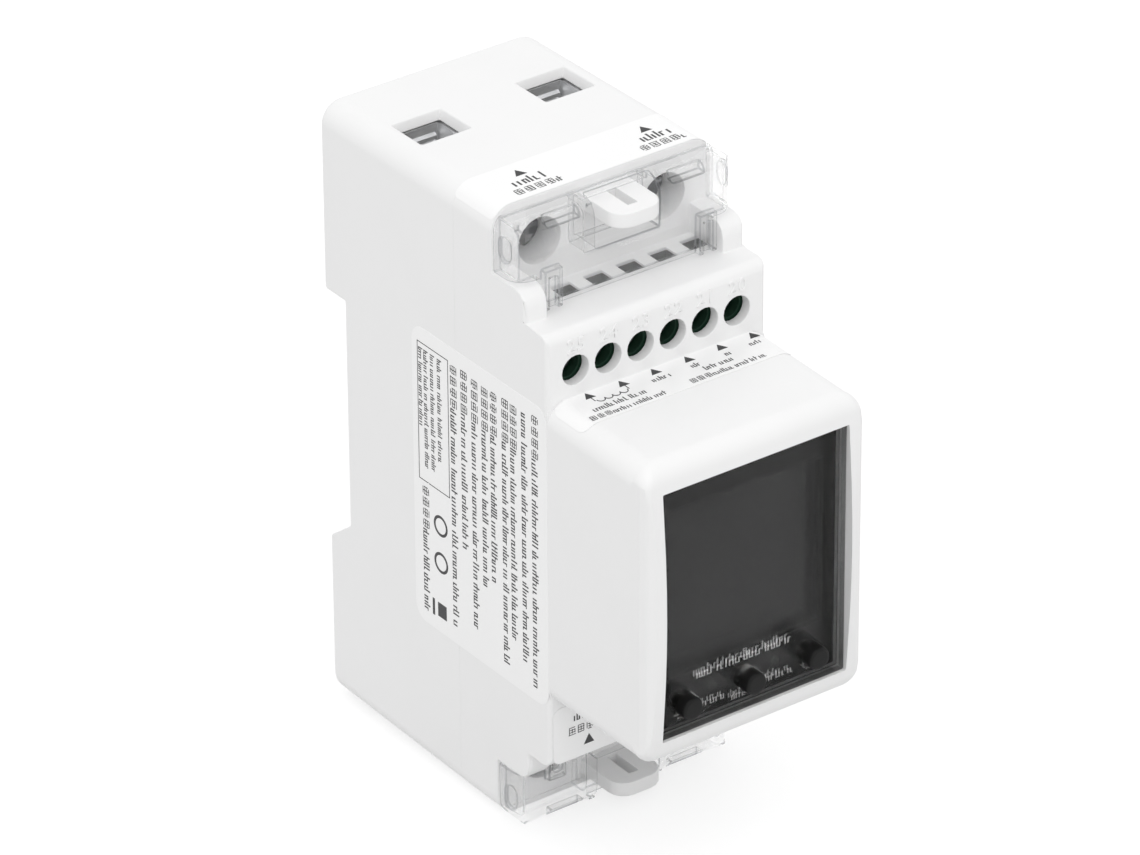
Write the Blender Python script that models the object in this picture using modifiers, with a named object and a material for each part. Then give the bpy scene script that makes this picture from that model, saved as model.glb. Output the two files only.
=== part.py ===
"""A two-module DIN rail energy meter, piece by piece, in metres with +Z up.

Every piece is laid out from the outside of the case: x across it from the middle, depth forward
from its back face, height up from its flat bottom. One empty then carries the whole layout so that
the world origin is the middle of the face that rests on the rail.
"""
import math

import bmesh
import bpy
from mathutils import Matrix, Vector

MM = 0.001

# Case outside
WIDTH = 36.0 * MM
HEIGHT = 94.0 * MM
PARTING_DEPTH = 31.0 * MM      # where the rear housing meets the front one
TERMINAL_RISE = 8.6 * MM       # parting to the wall that carries the clamp screw holes
LUG_RISE = 7.4 * MM            # that wall to the front of the shoulders beside each cover
STEP_RISE = 4.7 * MM           # shoulders to the wall with the row of small screw holes
NOSE_RISE = 21.4 * MM          # that wall to the display bezel's upper and lower edge
ARCH_RISE = 1.2 * MM           # how far the bezel bulges forward at mid height
STEP_INSET = 13.8 * MM         # ledges, measured from each end of the case
LUG_INSET = 9.3 * MM
NOSE_INSET = 24.2 * MM
NOSE_SLOPE = 0.4 * MM          # nose is this much taller where it leaves the step
REAR_DRAFT = 0.6 * MM          # mould draft of each end at the back face
LUG_WIDTH = 3.6 * MM
WALL = 1.8 * MM
GAP = 0.3 * MM                 # clearance between pieces that seat on each other
TERMINAL_DEPTH = PARTING_DEPTH + TERMINAL_RISE
LUG_DEPTH = TERMINAL_DEPTH + LUG_RISE
STEP_DEPTH = LUG_DEPTH + STEP_RISE
FRONT_DEPTH = STEP_DEPTH + NOSE_RISE
HALF = WIDTH / 2
INNER = HALF - WALL
MIDDLE = HEIGHT / 2

# Corner radii
END_RADIUS = 2.6 * MM          # long edges of the two ends
NOSE_RADIUS = 2.2 * MM
EDGE_RADIUS = 0.8 * MM
BEZEL_RADIUS = 2.6 * MM
LUG_RADIUS = 2.4 * MM
ARCH_STEPS = 8                 # straight stretches that make up the arched front

# Rail seat in the back
RAIL_HEIGHT = 35.0 * MM
RAIL_THICKNESS = 1.0 * MM
RAIL_PLAY = 0.4 * MM
SEAT_HEIGHT = 47.5 * MM        # middle of the rail above the bottom
SEAT_DEPTH = 5.3 * MM
RAMP = 4.0 * MM
LIP_HOLD = 1.3 * MM            # overlap of the fixed lips and of the clip on the rail's edges
LIP_WIDTH = 8.0 * MM
LIP_OFFSET = 10.5 * MM
RELIEF = 0.5 * MM              # core relief in the rail seat behind each lip and the clip's hook
CLIP_WIDTH = 12.0 * MM
CLIP_FLANGE = 1.2 * MM
CLIP_SUNK = 0.6 * MM           # back of the clip below the back of the case
CLIP_FLANGE_THICKNESS = 1.6 * MM
CLIP_FOOT = 3.5 * MM           # lower end of the clip above the bottom of the case
CLIP_RAMP = 2.4 * MM           # height of the hook's slope, which rides over the rail's edge
PRY_SLOT_WIDTH = 4.8 * MM
PRY_SLOT_HEIGHT = 1.8 * MM
CLIP_FRONT = SEAT_DEPTH - RAIL_THICKNESS - GAP
NOTCH_BOTTOM = SEAT_HEIGHT - (RAIL_HEIGHT + RAIL_PLAY) / 2
NOTCH_TOP = SEAT_HEIGHT + (RAIL_HEIGHT + RAIL_PLAY) / 2

# Power terminals, two at each end
TERMINAL_SIDE = 7.8 * MM       # clamp screw axis, from the side of the case
TERMINAL_PITCH = WIDTH - 2 * TERMINAL_SIDE
SCREW_INSET = 7.0 * MM         # clamp screw axis, from the end of the case
SCREW_BORE = 3.4 * MM
BOSS_WALL = 1.3 * MM
HEAD_RADIUS = SCREW_BORE - GAP
HEAD_LENGTH = 3.2 * MM
HEAD_SUNK = 4.2 * MM           # front of the screw head below the mouth of its bore
HEAD_DEPTH = TERMINAL_DEPTH - HEAD_SUNK
SHANK_RADIUS = 2.5 * MM
SLOT_WIDTH = 1.2 * MM
SLOT_DEPTH = 1.2 * MM
CAGE_WIDTH = 9.4 * MM
CAGE_BACK = 10.2 * MM
CAGE_SIDE_WALL = 1.2 * MM
CAGE_BACK_WALL = 1.4 * MM
CAGE_NUT_WALL = 2.0 * MM
CAGE_TRAVEL = 5.0 * MM         # how far the screw draws the cage forward
THIN_WIRE = 2.0 * MM           # gap that is left between cage and busbar then
NUT_CLEARANCE = 2.1 * MM       # busbar to the wall with the thread
CHAMBER_SHELF = 2.4 * MM       # wall between a clamp chamber and the inside of the case
CHAMBER_INSET = STEP_INSET + WALL - CHAMBER_SHELF
END_WALL = 2.0 * MM
WIRE_DEPTH = 12.0 * MM         # back edge of each wire window
WIRE_WIDTH = 7.2 * MM
WIRE_LENGTH = 6.3 * MM
WIRE_FLARE = 0.8 * MM
WIRE_RIM = 1.2 * MM

# Busbars and current transformer
BAR_WIDTH = CAGE_WIDTH - 2 * CAGE_SIDE_WALL - 2 * GAP
BAR_NECK = 4.4 * MM
BAR_THICKNESS = 1.5 * MM
BAR_DEPTH = CAGE_BACK + CAGE_BACK_WALL + CAGE_TRAVEL + THIN_WIRE
BAR_INSET = 3.0 * MM
CAGE_FRONT = BAR_DEPTH + BAR_THICKNESS + NUT_CLEARANCE + CAGE_NUT_WALL
TRANSFORMER_HEIGHT = 10.0 * MM
TRANSFORMER_RADIUS = INNER - TERMINAL_PITCH / 2 - GAP
TRANSFORMER_BORE = 3.0 * MM

# Signal terminals behind the step
SIGNAL_COUNT = 6
SIGNAL_SIDE = 4.75 * MM        # outermost hole, from the side of the case
SIGNAL_SHIFT = 0.4 * MM        # holes below the middle of the wall's flat part
SIGNAL_WEB = 1.0 * MM          # plastic left between two neighbouring holes
SIGNAL_SLOT_WEB = 2.3 * MM     # and between two neighbouring wire slots
SIGNAL_LEDGE = 0.2 * MM        # holes wider than the block's bores behind them
SIGNAL_SLOT_LENGTH = 2.8 * MM
SIGNAL_BLOCK_DEPTH = 11.4 * MM
SIGNAL_BACK_WALL = 2.6 * MM
SIGNAL_BELOW = 3.6 * MM        # bottom of the block below its screws
SIGNAL_SUNK = 1.4 * MM         # screw heads below the front of the block
SIGNAL_STAND = 1.6 * MM        # length of pin between the block and its board
SIGNAL_HEAD_LENGTH = 2.0 * MM
SIGNAL_SHOULDER = 0.55 * MM     # step from the screw's head to its shank
SIGNAL_SHANK_LENGTH = 2.4 * MM
PIN_SIZE = 0.9 * MM
STEP_FLAT_TOP = HEIGHT - STEP_INSET - 2 * EDGE_RADIUS
SIGNAL_HEIGHT = (STEP_FLAT_TOP + HEIGHT - NOSE_INSET + NOSE_SLOPE) / 2 - SIGNAL_SHIFT
SIGNAL_PITCH = (WIDTH - 2 * SIGNAL_SIDE) / (SIGNAL_COUNT - 1)
SIGNAL_HOLE = (SIGNAL_PITCH - SIGNAL_WEB) / 2
SIGNAL_SLOT_WIDTH = SIGNAL_PITCH - SIGNAL_SLOT_WEB
SIGNAL_BORE = SIGNAL_HOLE - SIGNAL_LEDGE
SIGNAL_HEAD = SIGNAL_BORE - GAP
SIGNAL_SHANK = SIGNAL_HEAD - SIGNAL_SHOULDER
SIGNAL_FRONT = STEP_DEPTH - WALL - GAP
SIGNAL_BACK = SIGNAL_FRONT - SIGNAL_BLOCK_DEPTH
SIGNAL_SLOT_DEPTH = SIGNAL_BACK + SIGNAL_BACK_WALL
SIGNAL_HEAD_DEPTH = SIGNAL_FRONT - SIGNAL_SUNK

# Clear terminal covers
COVER_RISE = 5.6 * MM          # front of the cover from the terminal wall
COVER_FRONT = TERMINAL_DEPTH + COVER_RISE
COVER_WALL = 1.2 * MM
COVER_RADIUS = 2.8 * MM
COVER_INSET = 0.2 * MM
DIMPLE_WIDTH = 2.3 * MM
DIMPLE_LENGTH = 3.7 * MM
DIMPLE_DEPTH = 0.5 * MM
LEG_WIDTH = 2.9 * MM
LEG_INSET = 7.6 * MM
LEG_PROUD = 1.0 * MM
LEG_GROOVE = 1.3 * MM
SIGHT_WIDTH = 5.3 * MM
SIGHT_INSET = 1.9 * MM

# Sealing tabs and the cover's pocket round each
TAB_WIDTH = 8.0 * MM
TAB_THICKNESS = 2.2 * MM
TAB_PLAY = 0.4 * MM            # between the tab and the cover's outer skin
TAB_RISE = 8.9 * MM            # front of the tab from the terminal wall
TAB_RADIUS = 2.6 * MM
TAB_SLOT = 1.6 * MM
TAB_BRIDGE = 2.1 * MM
TAB_INSET = COVER_INSET + COVER_WALL + TAB_PLAY
TAB_FRONT = TERMINAL_DEPTH + TAB_RISE
POCKET_PLAY = 1.2 * MM
POCKET_HEIGHT = 6.0 * MM
POCKET_MOUTH = 2.8 * MM        # how deep the pocket's front is cut open
POCKET_WALL = 0.9 * MM
POCKET_WIDTH = TAB_WIDTH + 2 * POCKET_PLAY
POCKET_INSET = COVER_INSET + COVER_WALL + POCKET_HEIGHT
POCKET_LIP = COVER_FRONT - POCKET_MOUTH

# Display, boards and buttons
BEZEL_SIDE = 2.7 * MM          # bezel beside, below and above the pane
BEZEL_BELOW = 3.8 * MM
BEZEL_ABOVE = 3.9 * MM
WINDOW_WIDTH = WIDTH - 2 * BEZEL_SIDE
WINDOW_BOTTOM = NOSE_INSET + BEZEL_BELOW
WINDOW_TOP = HEIGHT - NOSE_INSET - BEZEL_ABOVE
PANE_SUNK = 0.8 * MM
PANE_FRONT = FRONT_DEPTH - PANE_SUNK
PANE_THICKNESS = 2.0 * MM
PANE_BACK = PANE_FRONT - PANE_THICKNESS
PANE_MARGIN = 0.6 * MM
BUTTON_PITCH = 10.5 * MM
BUTTON_RISE = 3.7 * MM         # button axis above the lower edge of the pane's opening
BUTTON_HEIGHT = WINDOW_BOTTOM + BUTTON_RISE
BUTTON_RADIUS = 1.65 * MM
BUTTON_PROUD = 1.6 * MM
BUTTON_FRONT = PANE_FRONT + BUTTON_PROUD
BUTTON_FLANGE = 2.4 * MM
BUTTON_FLANGE_THICKNESS = 1.0 * MM
BUTTON_TAIL = 0.2 * MM
BUTTON_TRAVEL = 0.5 * MM
SWITCH_SIZE = 5.0 * MM
SWITCH_THICKNESS = 2.5 * MM
ACTUATOR_RADIUS = 1.4 * MM
LED_OFFSET = BUTTON_PITCH / 2
LED_RADIUS = 1.25 * MM
BOARD_THICKNESS = 1.6 * MM
DISPLAY_ROOM = 5.7 * MM        # display board to the back of the pane
DISPLAY_FACE = PANE_BACK - DISPLAY_ROOM
DISPLAY_BOARD_DEPTH = DISPLAY_FACE - BOARD_THICKNESS
DISPLAY_BOARD_MARGIN = 0.4 * MM
MAIN_FACE = SIGNAL_BACK - SIGNAL_STAND
MAIN_BOARD_DEPTH = MAIN_FACE - BOARD_THICKNESS
MAIN_BOARD_MARGIN = 0.9 * MM
LCD_SIDE = 1.3 * MM            # pane's opening to the display glass, at the sides and above
LCD_ABOVE = 4.3 * MM
LCD_OVER_BUTTONS = 3.3 * MM
LCD_THICKNESS = 1.8 * MM
CONNECTOR_WIDTH = 14.0 * MM
CONNECTOR_HEIGHT = 2.5 * MM
CONNECTOR_MARGIN = 2.7 * MM
FILM_MARGIN = 8.0 * MM         # film capacitor above the lower edge of its board
FILM_WIDTH = 12.0 * MM
FILM_HEIGHT = 20.0 * MM
FILM_DEPTH = 10.0 * MM
CAN_RADIUS = 4.0 * MM
CAN_LENGTH = 12.5 * MM

ENDS = {"top": 1, "bottom": -1}
SIDES = {"line": 1, "neutral": -1}
OVER = 1.0 * MM                # how far a cutter runs past the face it cuts


def reset():
    """Empty the scene and make the frame and the two collections."""
    for old in list(bpy.data.objects):
        bpy.data.objects.remove(old)
    for name in ("Energy meter", "Cutters"):
        bpy.context.scene.collection.children.link(bpy.data.collections.new(name))
    frame = bpy.data.objects.new("layout", None)
    frame.location = (0, SEAT_DEPTH, -SEAT_HEIGHT)
    bpy.data.collections["Energy meter"].objects.link(frame)
    return frame


def at_end(end, inset):
    """The height that lies an inset in from the top or the bottom of the case."""
    return MIDDLE + ENDS[end] * (MIDDLE - inset)


def between(end, near, far):
    """Two insets from one end as a pair of heights, lower first."""
    return sorted((at_end(end, near), at_end(end, far)))


def rounded(corners, steps):
    """Outline points of a polygon whose corners (u, v, radius) are arcs."""
    points = []
    for index, (u, v, radius) in enumerate(corners):
        here = Vector((u, v))
        if radius == 0:
            points.append(here)
            continue
        before = (Vector(corners[index - 1][:2]) - here).normalized()
        after = (Vector(corners[(index + 1) % len(corners)][:2]) - here).normalized()
        half = before.angle(after) / 2
        centre = here + (before + after).normalized() * radius / math.sin(half)
        start = here + before * radius / math.tan(half) - centre
        turn = start.angle_signed(here + after * radius / math.tan(half) - centre)
        for step in range(steps + 1):
            angle = -turn * step / steps
            points.append(centre + Matrix.Rotation(angle, 2) @ start)
    return points


def place(item, collection="Energy meter"):
    """Link an object to its collection under the layout frame."""
    bpy.data.collections[collection].objects.link(item)
    item.parent = bpy.data.objects["layout"]
    return item


def from_bmesh(name, bm, location):
    """An object at a place, with its mesh around its own origin."""
    mesh = bpy.data.meshes.new(name)
    bm.to_mesh(mesh)
    bm.free()
    item = bpy.data.objects.new(name, mesh)
    item.location = location
    return place(item)


def box(name, x, depth, height):
    """A block between two x values, two depths and two heights."""
    bm = bmesh.new()
    bmesh.ops.create_cube(bm, size=1.0)
    size = (x[1] - x[0], depth[1] - depth[0], height[1] - height[0])
    bmesh.ops.scale(bm, vec=size, verts=bm.verts)
    centre = (sum(x) / 2, -sum(depth) / 2, sum(height) / 2)
    return from_bmesh(name, bm, centre)


def rod(name, radius, x, height, depth, sides=24):
    """A cylinder that lies along the depth."""
    bm = bmesh.new()
    length = depth[1] - depth[0]
    bmesh.ops.create_cone(bm, cap_ends=True, segments=sides, radius1=radius, radius2=radius, depth=length)
    bmesh.ops.rotate(bm, cent=(0, 0, 0), matrix=Matrix.Rotation(math.pi / 2, 3, "X"), verts=bm.verts)
    return from_bmesh(name, bm, (x, -sum(depth) / 2, height))


AXES = {
    "x": Matrix(((0, 0, -1), (-1, 0, 0), (0, 1, 0))),
    "depth": Matrix(((1, 0, 0), (0, 0, -1), (0, 1, 0))),
    "height": Matrix(((1, 0, 0), (0, -1, 0), (0, 0, -1))),
}


def extruded(name, corners, along, low, high, steps=4):
    """A flat outline drawn straight through from low to high.

    Along x the outline is (depth, height), along depth it is (x, height) and along height it is
    (x, depth), each corner with its radius.
    """
    curve = bpy.data.curves.new(name, "CURVE")
    curve.dimensions = "2D"
    curve.fill_mode = "BOTH"
    curve.extrude = (high - low) / 2
    points = rounded(corners, steps)
    spline = curve.splines.new("POLY")
    spline.points.add(len(points) - 1)
    for slot, point in zip(spline.points, points):
        slot.co = (point.x, point.y, 0, 1)
    spline.use_cyclic_u = True
    drawn = place(bpy.data.objects.new(name + "_outline", curve))
    middle = (low + high) / 2
    shift = {"x": (middle, 0, 0), "depth": (0, -middle, 0), "height": (0, 0, middle)}[along]
    bpy.context.view_layer.update()
    mesh = bpy.data.meshes.new_from_object(drawn.evaluated_get(bpy.context.evaluated_depsgraph_get()))
    bpy.data.objects.remove(drawn)
    bm = bmesh.new()
    bm.from_mesh(mesh)
    bmesh.ops.remove_doubles(bm, verts=bm.verts, dist=0.001 * MM)
    bmesh.ops.dissolve_limit(bm, angle_limit=math.radians(0.5), verts=bm.verts, edges=bm.edges)
    bmesh.ops.recalc_face_normals(bm, faces=bm.faces)
    bmesh.ops.rotate(bm, cent=(0, 0, 0), matrix=AXES[along], verts=bm.verts)
    return from_bmesh(name, bm, shift)


def turned(name, profile, x, height, sides=24):
    """A shape turned about an axis along the depth, from (radius, depth) points, front first."""
    mesh = bpy.data.meshes.new(name)
    points = [(radius, 0, depth) for radius, depth in profile]
    mesh.from_pydata(points, [(i, i + 1) for i in range(len(points) - 1)], [])
    item = bpy.data.objects.new(name, mesh)
    item.location = (x, 0, height)
    item.rotation_euler = (math.pi / 2, 0, 0)
    turn = item.modifiers.new("Turn", "SCREW")
    turn.steps = sides
    turn.render_steps = sides
    turn.use_merge_vertices = True
    turn.merge_threshold = 0.01 * MM
    return place(item)


def set_aside(item):
    """Make an object a hidden operand."""
    for collection in list(item.users_collection):
        collection.objects.unlink(item)
    bpy.data.collections["Cutters"].objects.link(item)
    item.hide_render = True
    item.display_type = "WIRE"


def keep_common(target, *operands):
    combine(target, operands, "INTERSECT")


def combine(target, operands, operation):
    """Run one Boolean with each operand in turn."""
    for operand in operands:
        step = target.modifiers.new(operand.name, "BOOLEAN")
        step.operation = operation
        step.solver = "EXACT"
        step.object = operand
        set_aside(operand)


def cut(target, *operands):
    combine(target, operands, "DIFFERENCE")


def join(target, *operands):
    combine(target, operands, "UNION")


def tapered_box(name, x, depth, height, flare, wide_high):
    """A block whose upper or lower end is wider all round by a flare."""
    item = box(name, x, depth, height)
    for corner in item.data.vertices:
        if (corner.co.z > 0) == wide_high:
            corner.co.x += math.copysign(flare, corner.co.x)
            corner.co.y += math.copysign(flare, corner.co.y)
    return item


# Housings
def rear_housing():
    """The rear half: rail seat, clip channel, clamp chambers and wire windows."""
    outline = [
        (0, REAR_DRAFT, EDGE_RADIUS), (PARTING_DEPTH, 0, 0), (PARTING_DEPTH, HEIGHT, 0),
        (0, HEIGHT - REAR_DRAFT, EDGE_RADIUS), (0, NOTCH_TOP, 0), (SEAT_DEPTH, NOTCH_TOP, 0),
        (SEAT_DEPTH, NOTCH_BOTTOM, 0), (0, NOTCH_BOTTOM - RAMP, 0),
    ]
    body = extruded("rear_housing", outline, "x", -HALF - OVER, HALF + OVER, steps=2)
    keep_common(body, rounded_bar("rear_sides", -OVER, PARTING_DEPTH + OVER), rear_plan())
    for side in (-1, 1):
        middle = side * LIP_OFFSET
        lip = box(f"rail_lip_{side}", (middle - LIP_WIDTH / 2, middle + LIP_WIDTH / 2),
                  (CLIP_SUNK, CLIP_FRONT),
                  (NOTCH_TOP - RAIL_PLAY / 2 - LIP_HOLD, NOTCH_TOP + OVER))
        cut(body, relief(f"lip_relief_{side}", middle, LIP_WIDTH,
                         (NOTCH_TOP - RAIL_PLAY / 2 - LIP_HOLD - GAP, NOTCH_TOP)))
        join(body, lip)
    cut(body, box("rear_hollow", (-INNER, INNER), (SEAT_DEPTH + WALL, PARTING_DEPTH + OVER),
                  (STEP_INSET + WALL, HEIGHT - STEP_INSET - WALL)))
    for end in ENDS:
        chamber = between(end, END_WALL, CHAMBER_INSET)
        core = CAGE_WIDTH / 2 + GAP
        middle_wall = TERMINAL_PITCH / 2 - core - WALL
        cut(body, box(f"{end}_middle_hollow", (-middle_wall, middle_wall),
                      (CAGE_BACK - GAP, PARTING_DEPTH + OVER), chamber))
        for side, sign in SIDES.items():
            x = sign * TERMINAL_PITCH / 2
            cut(body, box(f"{end}_{side}_chamber", (x - core, x + core),
                          (CAGE_BACK - GAP, PARTING_DEPTH + OVER), chamber))
            half = BAR_WIDTH / 2 + GAP
            cut(body, box(f"{end}_{side}_bar_slot", (x - half, x + half),
                          (BAR_DEPTH - GAP, PARTING_DEPTH + OVER),
                          between(end, CHAMBER_INSET - OVER, STEP_INSET + WALL + OVER)))
            cut(body, wire_window(end, side, x))
    cut(body, *clip_channel())
    hook_top = SEAT_HEIGHT - RAIL_HEIGHT / 2 + LIP_HOLD
    cut(body, relief("hook_relief", 0, CLIP_WIDTH, (NOTCH_BOTTOM, hook_top + GAP)))
    return body


def relief(name, middle, width, height):
    """The shallow pocket in the rail seat that a core leaves behind an overhanging hook."""
    half = width / 2 + GAP
    return box(name, (middle - half, middle + half), (SEAT_DEPTH - OVER, SEAT_DEPTH + RELIEF), height)


def rear_plan():
    """The rear housing seen from above, with its two back edges rounded."""
    front = PARTING_DEPTH + OVER
    corners = [(-HALF, 0, EDGE_RADIUS), (HALF, 0, EDGE_RADIUS), (HALF, front, 0), (-HALF, front, 0)]
    return extruded("rear_plan", corners, "height", -OVER, HEIGHT + OVER, steps=2)


def rounded_bar(name, back, front):
    """The case's front view with its rounded long edges, drawn along the depth."""
    ends = [(-HALF, 0), (HALF, 0), (HALF, HEIGHT), (-HALF, HEIGHT)]
    return extruded(name, [(*corner, END_RADIUS) for corner in ends], "depth", back, front)


def wire_window(end, side, x):
    """The opening that a wire goes in by, with a sloped rim at its mouth."""
    half = WIRE_WIDTH / 2
    depth = (WIRE_DEPTH, WIRE_DEPTH + WIRE_LENGTH)
    shaft = box(f"{end}_{side}_wire_shaft", (x - half, x + half), depth,
                between(end, -OVER, END_WALL + OVER))
    mouth = tapered_box(f"{end}_{side}_wire_mouth", (x - half, x + half), depth,
                        between(end, -REAR_DRAFT, REAR_DRAFT + WIRE_RIM), WIRE_FLARE, end == "top")
    join(mouth, shaft)
    return mouth


def clip_channel():
    """The T-shaped track of the rail clip, open at the bottom and into the rail seat."""
    height = (-OVER, NOTCH_BOTTOM + GAP)
    half = CLIP_WIDTH / 2 + GAP
    front = CLIP_FRONT + GAP
    track = box("clip_track", (-half, half), (-OVER, front), height)
    wide = half + CLIP_FLANGE
    under = box("clip_undercut", (-wide, wide), (CLIP_FRONT - CLIP_FLANGE_THICKNESS - GAP, front), height)
    return track, under


def step_outline():
    """Side view of the front housing without its nose, from the bottom edge round to the top one."""
    back = PARTING_DEPTH + GAP
    lower = [
        (back, 0, 0), (TERMINAL_DEPTH, 0, 0), (TERMINAL_DEPTH, LUG_INSET, 0),
        (LUG_DEPTH, LUG_INSET, LUG_RADIUS), (LUG_DEPTH, STEP_INSET, 0),
        (STEP_DEPTH, STEP_INSET, 2 * EDGE_RADIUS),
    ]
    upper = [
        (STEP_DEPTH, HEIGHT - STEP_INSET, 2 * EDGE_RADIUS), (LUG_DEPTH, HEIGHT - STEP_INSET, 0),
        (LUG_DEPTH, HEIGHT - LUG_INSET, LUG_RADIUS), (TERMINAL_DEPTH, HEIGHT - LUG_INSET, 0),
        (TERMINAL_DEPTH, HEIGHT, 0), (back, HEIGHT, 0),
    ]
    return lower + upper


def upright_edge(name, side, front, height):
    """What is cut off to round an upright edge: the corner outside a quarter of a circle."""
    out = side * (HALF + OVER)
    inside = side * (HALF - EDGE_RADIUS)
    corners = [(out, front - EDGE_RADIUS, 0), (out, front + OVER, 0), (inside, front + OVER, 0)]
    for degrees in (90, 60, 30, 0):
        angle = math.radians(degrees)
        corners.append((inside + side * EDGE_RADIUS * math.cos(angle),
                        front - EDGE_RADIUS + EDGE_RADIUS * math.sin(angle), 0))
    return extruded(name, corners, "height", *height)


def nose():
    """The display end: arched front, gently sloping faces and rounded edges all round."""
    back = STEP_DEPTH - WALL
    reach = MIDDLE - NOSE_INSET - BEZEL_RADIUS
    arch = []
    for step in range(1, ARCH_STEPS):
        share = 2 * step / ARCH_STEPS - 1
        arch.append((FRONT_DEPTH + ARCH_RISE * (1 - share * share), MIDDLE + reach * share, 0))
    low = NOSE_INSET - NOSE_SLOPE
    high = HEIGHT - low
    outline = [(back, low, 0), (STEP_DEPTH, low, 0), (FRONT_DEPTH, NOSE_INSET, BEZEL_RADIUS), *arch,
               (FRONT_DEPTH, HEIGHT - NOSE_INSET, BEZEL_RADIUS), (STEP_DEPTH, high, 0), (back, high, 0)]
    body = extruded("nose", outline, "x", -HALF - OVER, HALF + OVER, steps=3)
    section = [(-HALF, low, NOSE_RADIUS), (HALF, low, NOSE_RADIUS), (HALF, high, NOSE_RADIUS),
               (-HALF, high, NOSE_RADIUS)]
    front = FRONT_DEPTH + ARCH_RISE
    plan = [(-HALF, back - OVER, 0), (HALF, back - OVER, 0), (HALF, front, BEZEL_RADIUS),
            (-HALF, front, BEZEL_RADIUS)]
    keep_common(body, extruded("nose_section", section, "depth", back - OVER, front + OVER, steps=3),
                extruded("nose_plan", plan, "height", low - OVER, high + OVER, steps=3))
    return body


def front_housing():
    """The front half: terminal walls, shoulders, ledge, stepped face, nose and display bezel."""
    body = extruded("front_housing", step_outline(), "x", -HALF - OVER, HALF + OVER, steps=3)
    keep_common(body, rounded_bar("front_sides", PARTING_DEPTH - OVER, STEP_DEPTH + OVER))
    for side in (-1, 1):
        step_height = (STEP_INSET - OVER, HEIGHT - STEP_INSET + OVER)
        cut(body, upright_edge(f"step_edge_{side}", side, STEP_DEPTH, step_height))
        for end in ENDS:
            lug_height = between(end, LUG_INSET - OVER, STEP_INSET)
            cut(body, upright_edge(f"{end}_lug_edge_{side}", side, LUG_DEPTH, lug_height))
    join(body, nose())
    opening = HALF - LUG_WIDTH
    for end in ENDS:
        cut(body, box(f"{end}_recess", (-opening, opening), (TERMINAL_DEPTH, STEP_DEPTH + OVER),
                      between(end, LUG_INSET - OVER, STEP_INSET)))
    front = PANE_FRONT + GAP
    hollows = [(TERMINAL_DEPTH - WALL, END_WALL), (STEP_DEPTH - WALL, STEP_INSET + WALL),
               (front, NOSE_INSET + WALL)]
    for number, (depth, inset) in enumerate(hollows):
        cut(body, box(f"front_hollow_{number}", (-INNER, INNER), (PARTING_DEPTH - OVER, depth),
                      (inset, HEIGHT - inset)))
    cut(body, box("display_opening", (-WINDOW_WIDTH / 2, WINDOW_WIDTH / 2),
                  (front - OVER, FRONT_DEPTH + ARCH_RISE + OVER), (WINDOW_BOTTOM, WINDOW_TOP)))
    for end in ENDS:
        join(body, sealing_tab(end))
        for side, sign in SIDES.items():
            x = sign * TERMINAL_PITCH / 2
            height = at_end(end, SCREW_INSET)
            join(body, rod(f"{end}_{side}_boss", SCREW_BORE + BOSS_WALL, x, height,
                           (PARTING_DEPTH + 2 * GAP, TERMINAL_DEPTH - WALL / 2)))
            cut(body, rod(f"{end}_{side}_bore", SCREW_BORE, x, height,
                          (PARTING_DEPTH - OVER, TERMINAL_DEPTH + OVER)))
    for index in range(SIGNAL_COUNT):
        x = signal_x(index)
        cut(body, rod(f"signal_hole_{index}", SIGNAL_HOLE, x, SIGNAL_HEIGHT,
                      (STEP_DEPTH - WALL - OVER, STEP_DEPTH + OVER), 20))
        cut(body, signal_slot(f"signal_slot_{index}", x, (HEIGHT - STEP_INSET - WALL - OVER,
                                                          HEIGHT - STEP_INSET + OVER)))
    return body


def signal_x(index):
    return (index - (SIGNAL_COUNT - 1) / 2) * SIGNAL_PITCH


def signal_slot(name, x, height):
    """A square wire entry above one signal terminal."""
    half = SIGNAL_SLOT_WIDTH / 2
    depth = (SIGNAL_SLOT_DEPTH, SIGNAL_SLOT_DEPTH + SIGNAL_SLOT_LENGTH)
    return box(name, (x - half, x + half), depth, height)


def sealing_tab(end):
    """A flat tongue with a slot for the seal wire, which stands out through the cover."""
    half = TAB_WIDTH / 2
    low, high = between(end, TAB_INSET, TAB_INSET + TAB_THICKNESS)
    outline = [(-half, TERMINAL_DEPTH - WALL / 2, 0), (half, TERMINAL_DEPTH - WALL / 2, 0),
               (half, TAB_FRONT, TAB_RADIUS), (-half, TAB_FRONT, TAB_RADIUS)]
    tab = extruded(f"{end}_tab", outline, "height", low, high)
    cut(tab, box(f"{end}_tab_slot", (-TAB_SLOT / 2, TAB_SLOT / 2),
                 (TERMINAL_DEPTH + WALL, TAB_FRONT - TAB_BRIDGE), (low - OVER, high + OVER)))
    return tab


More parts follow.
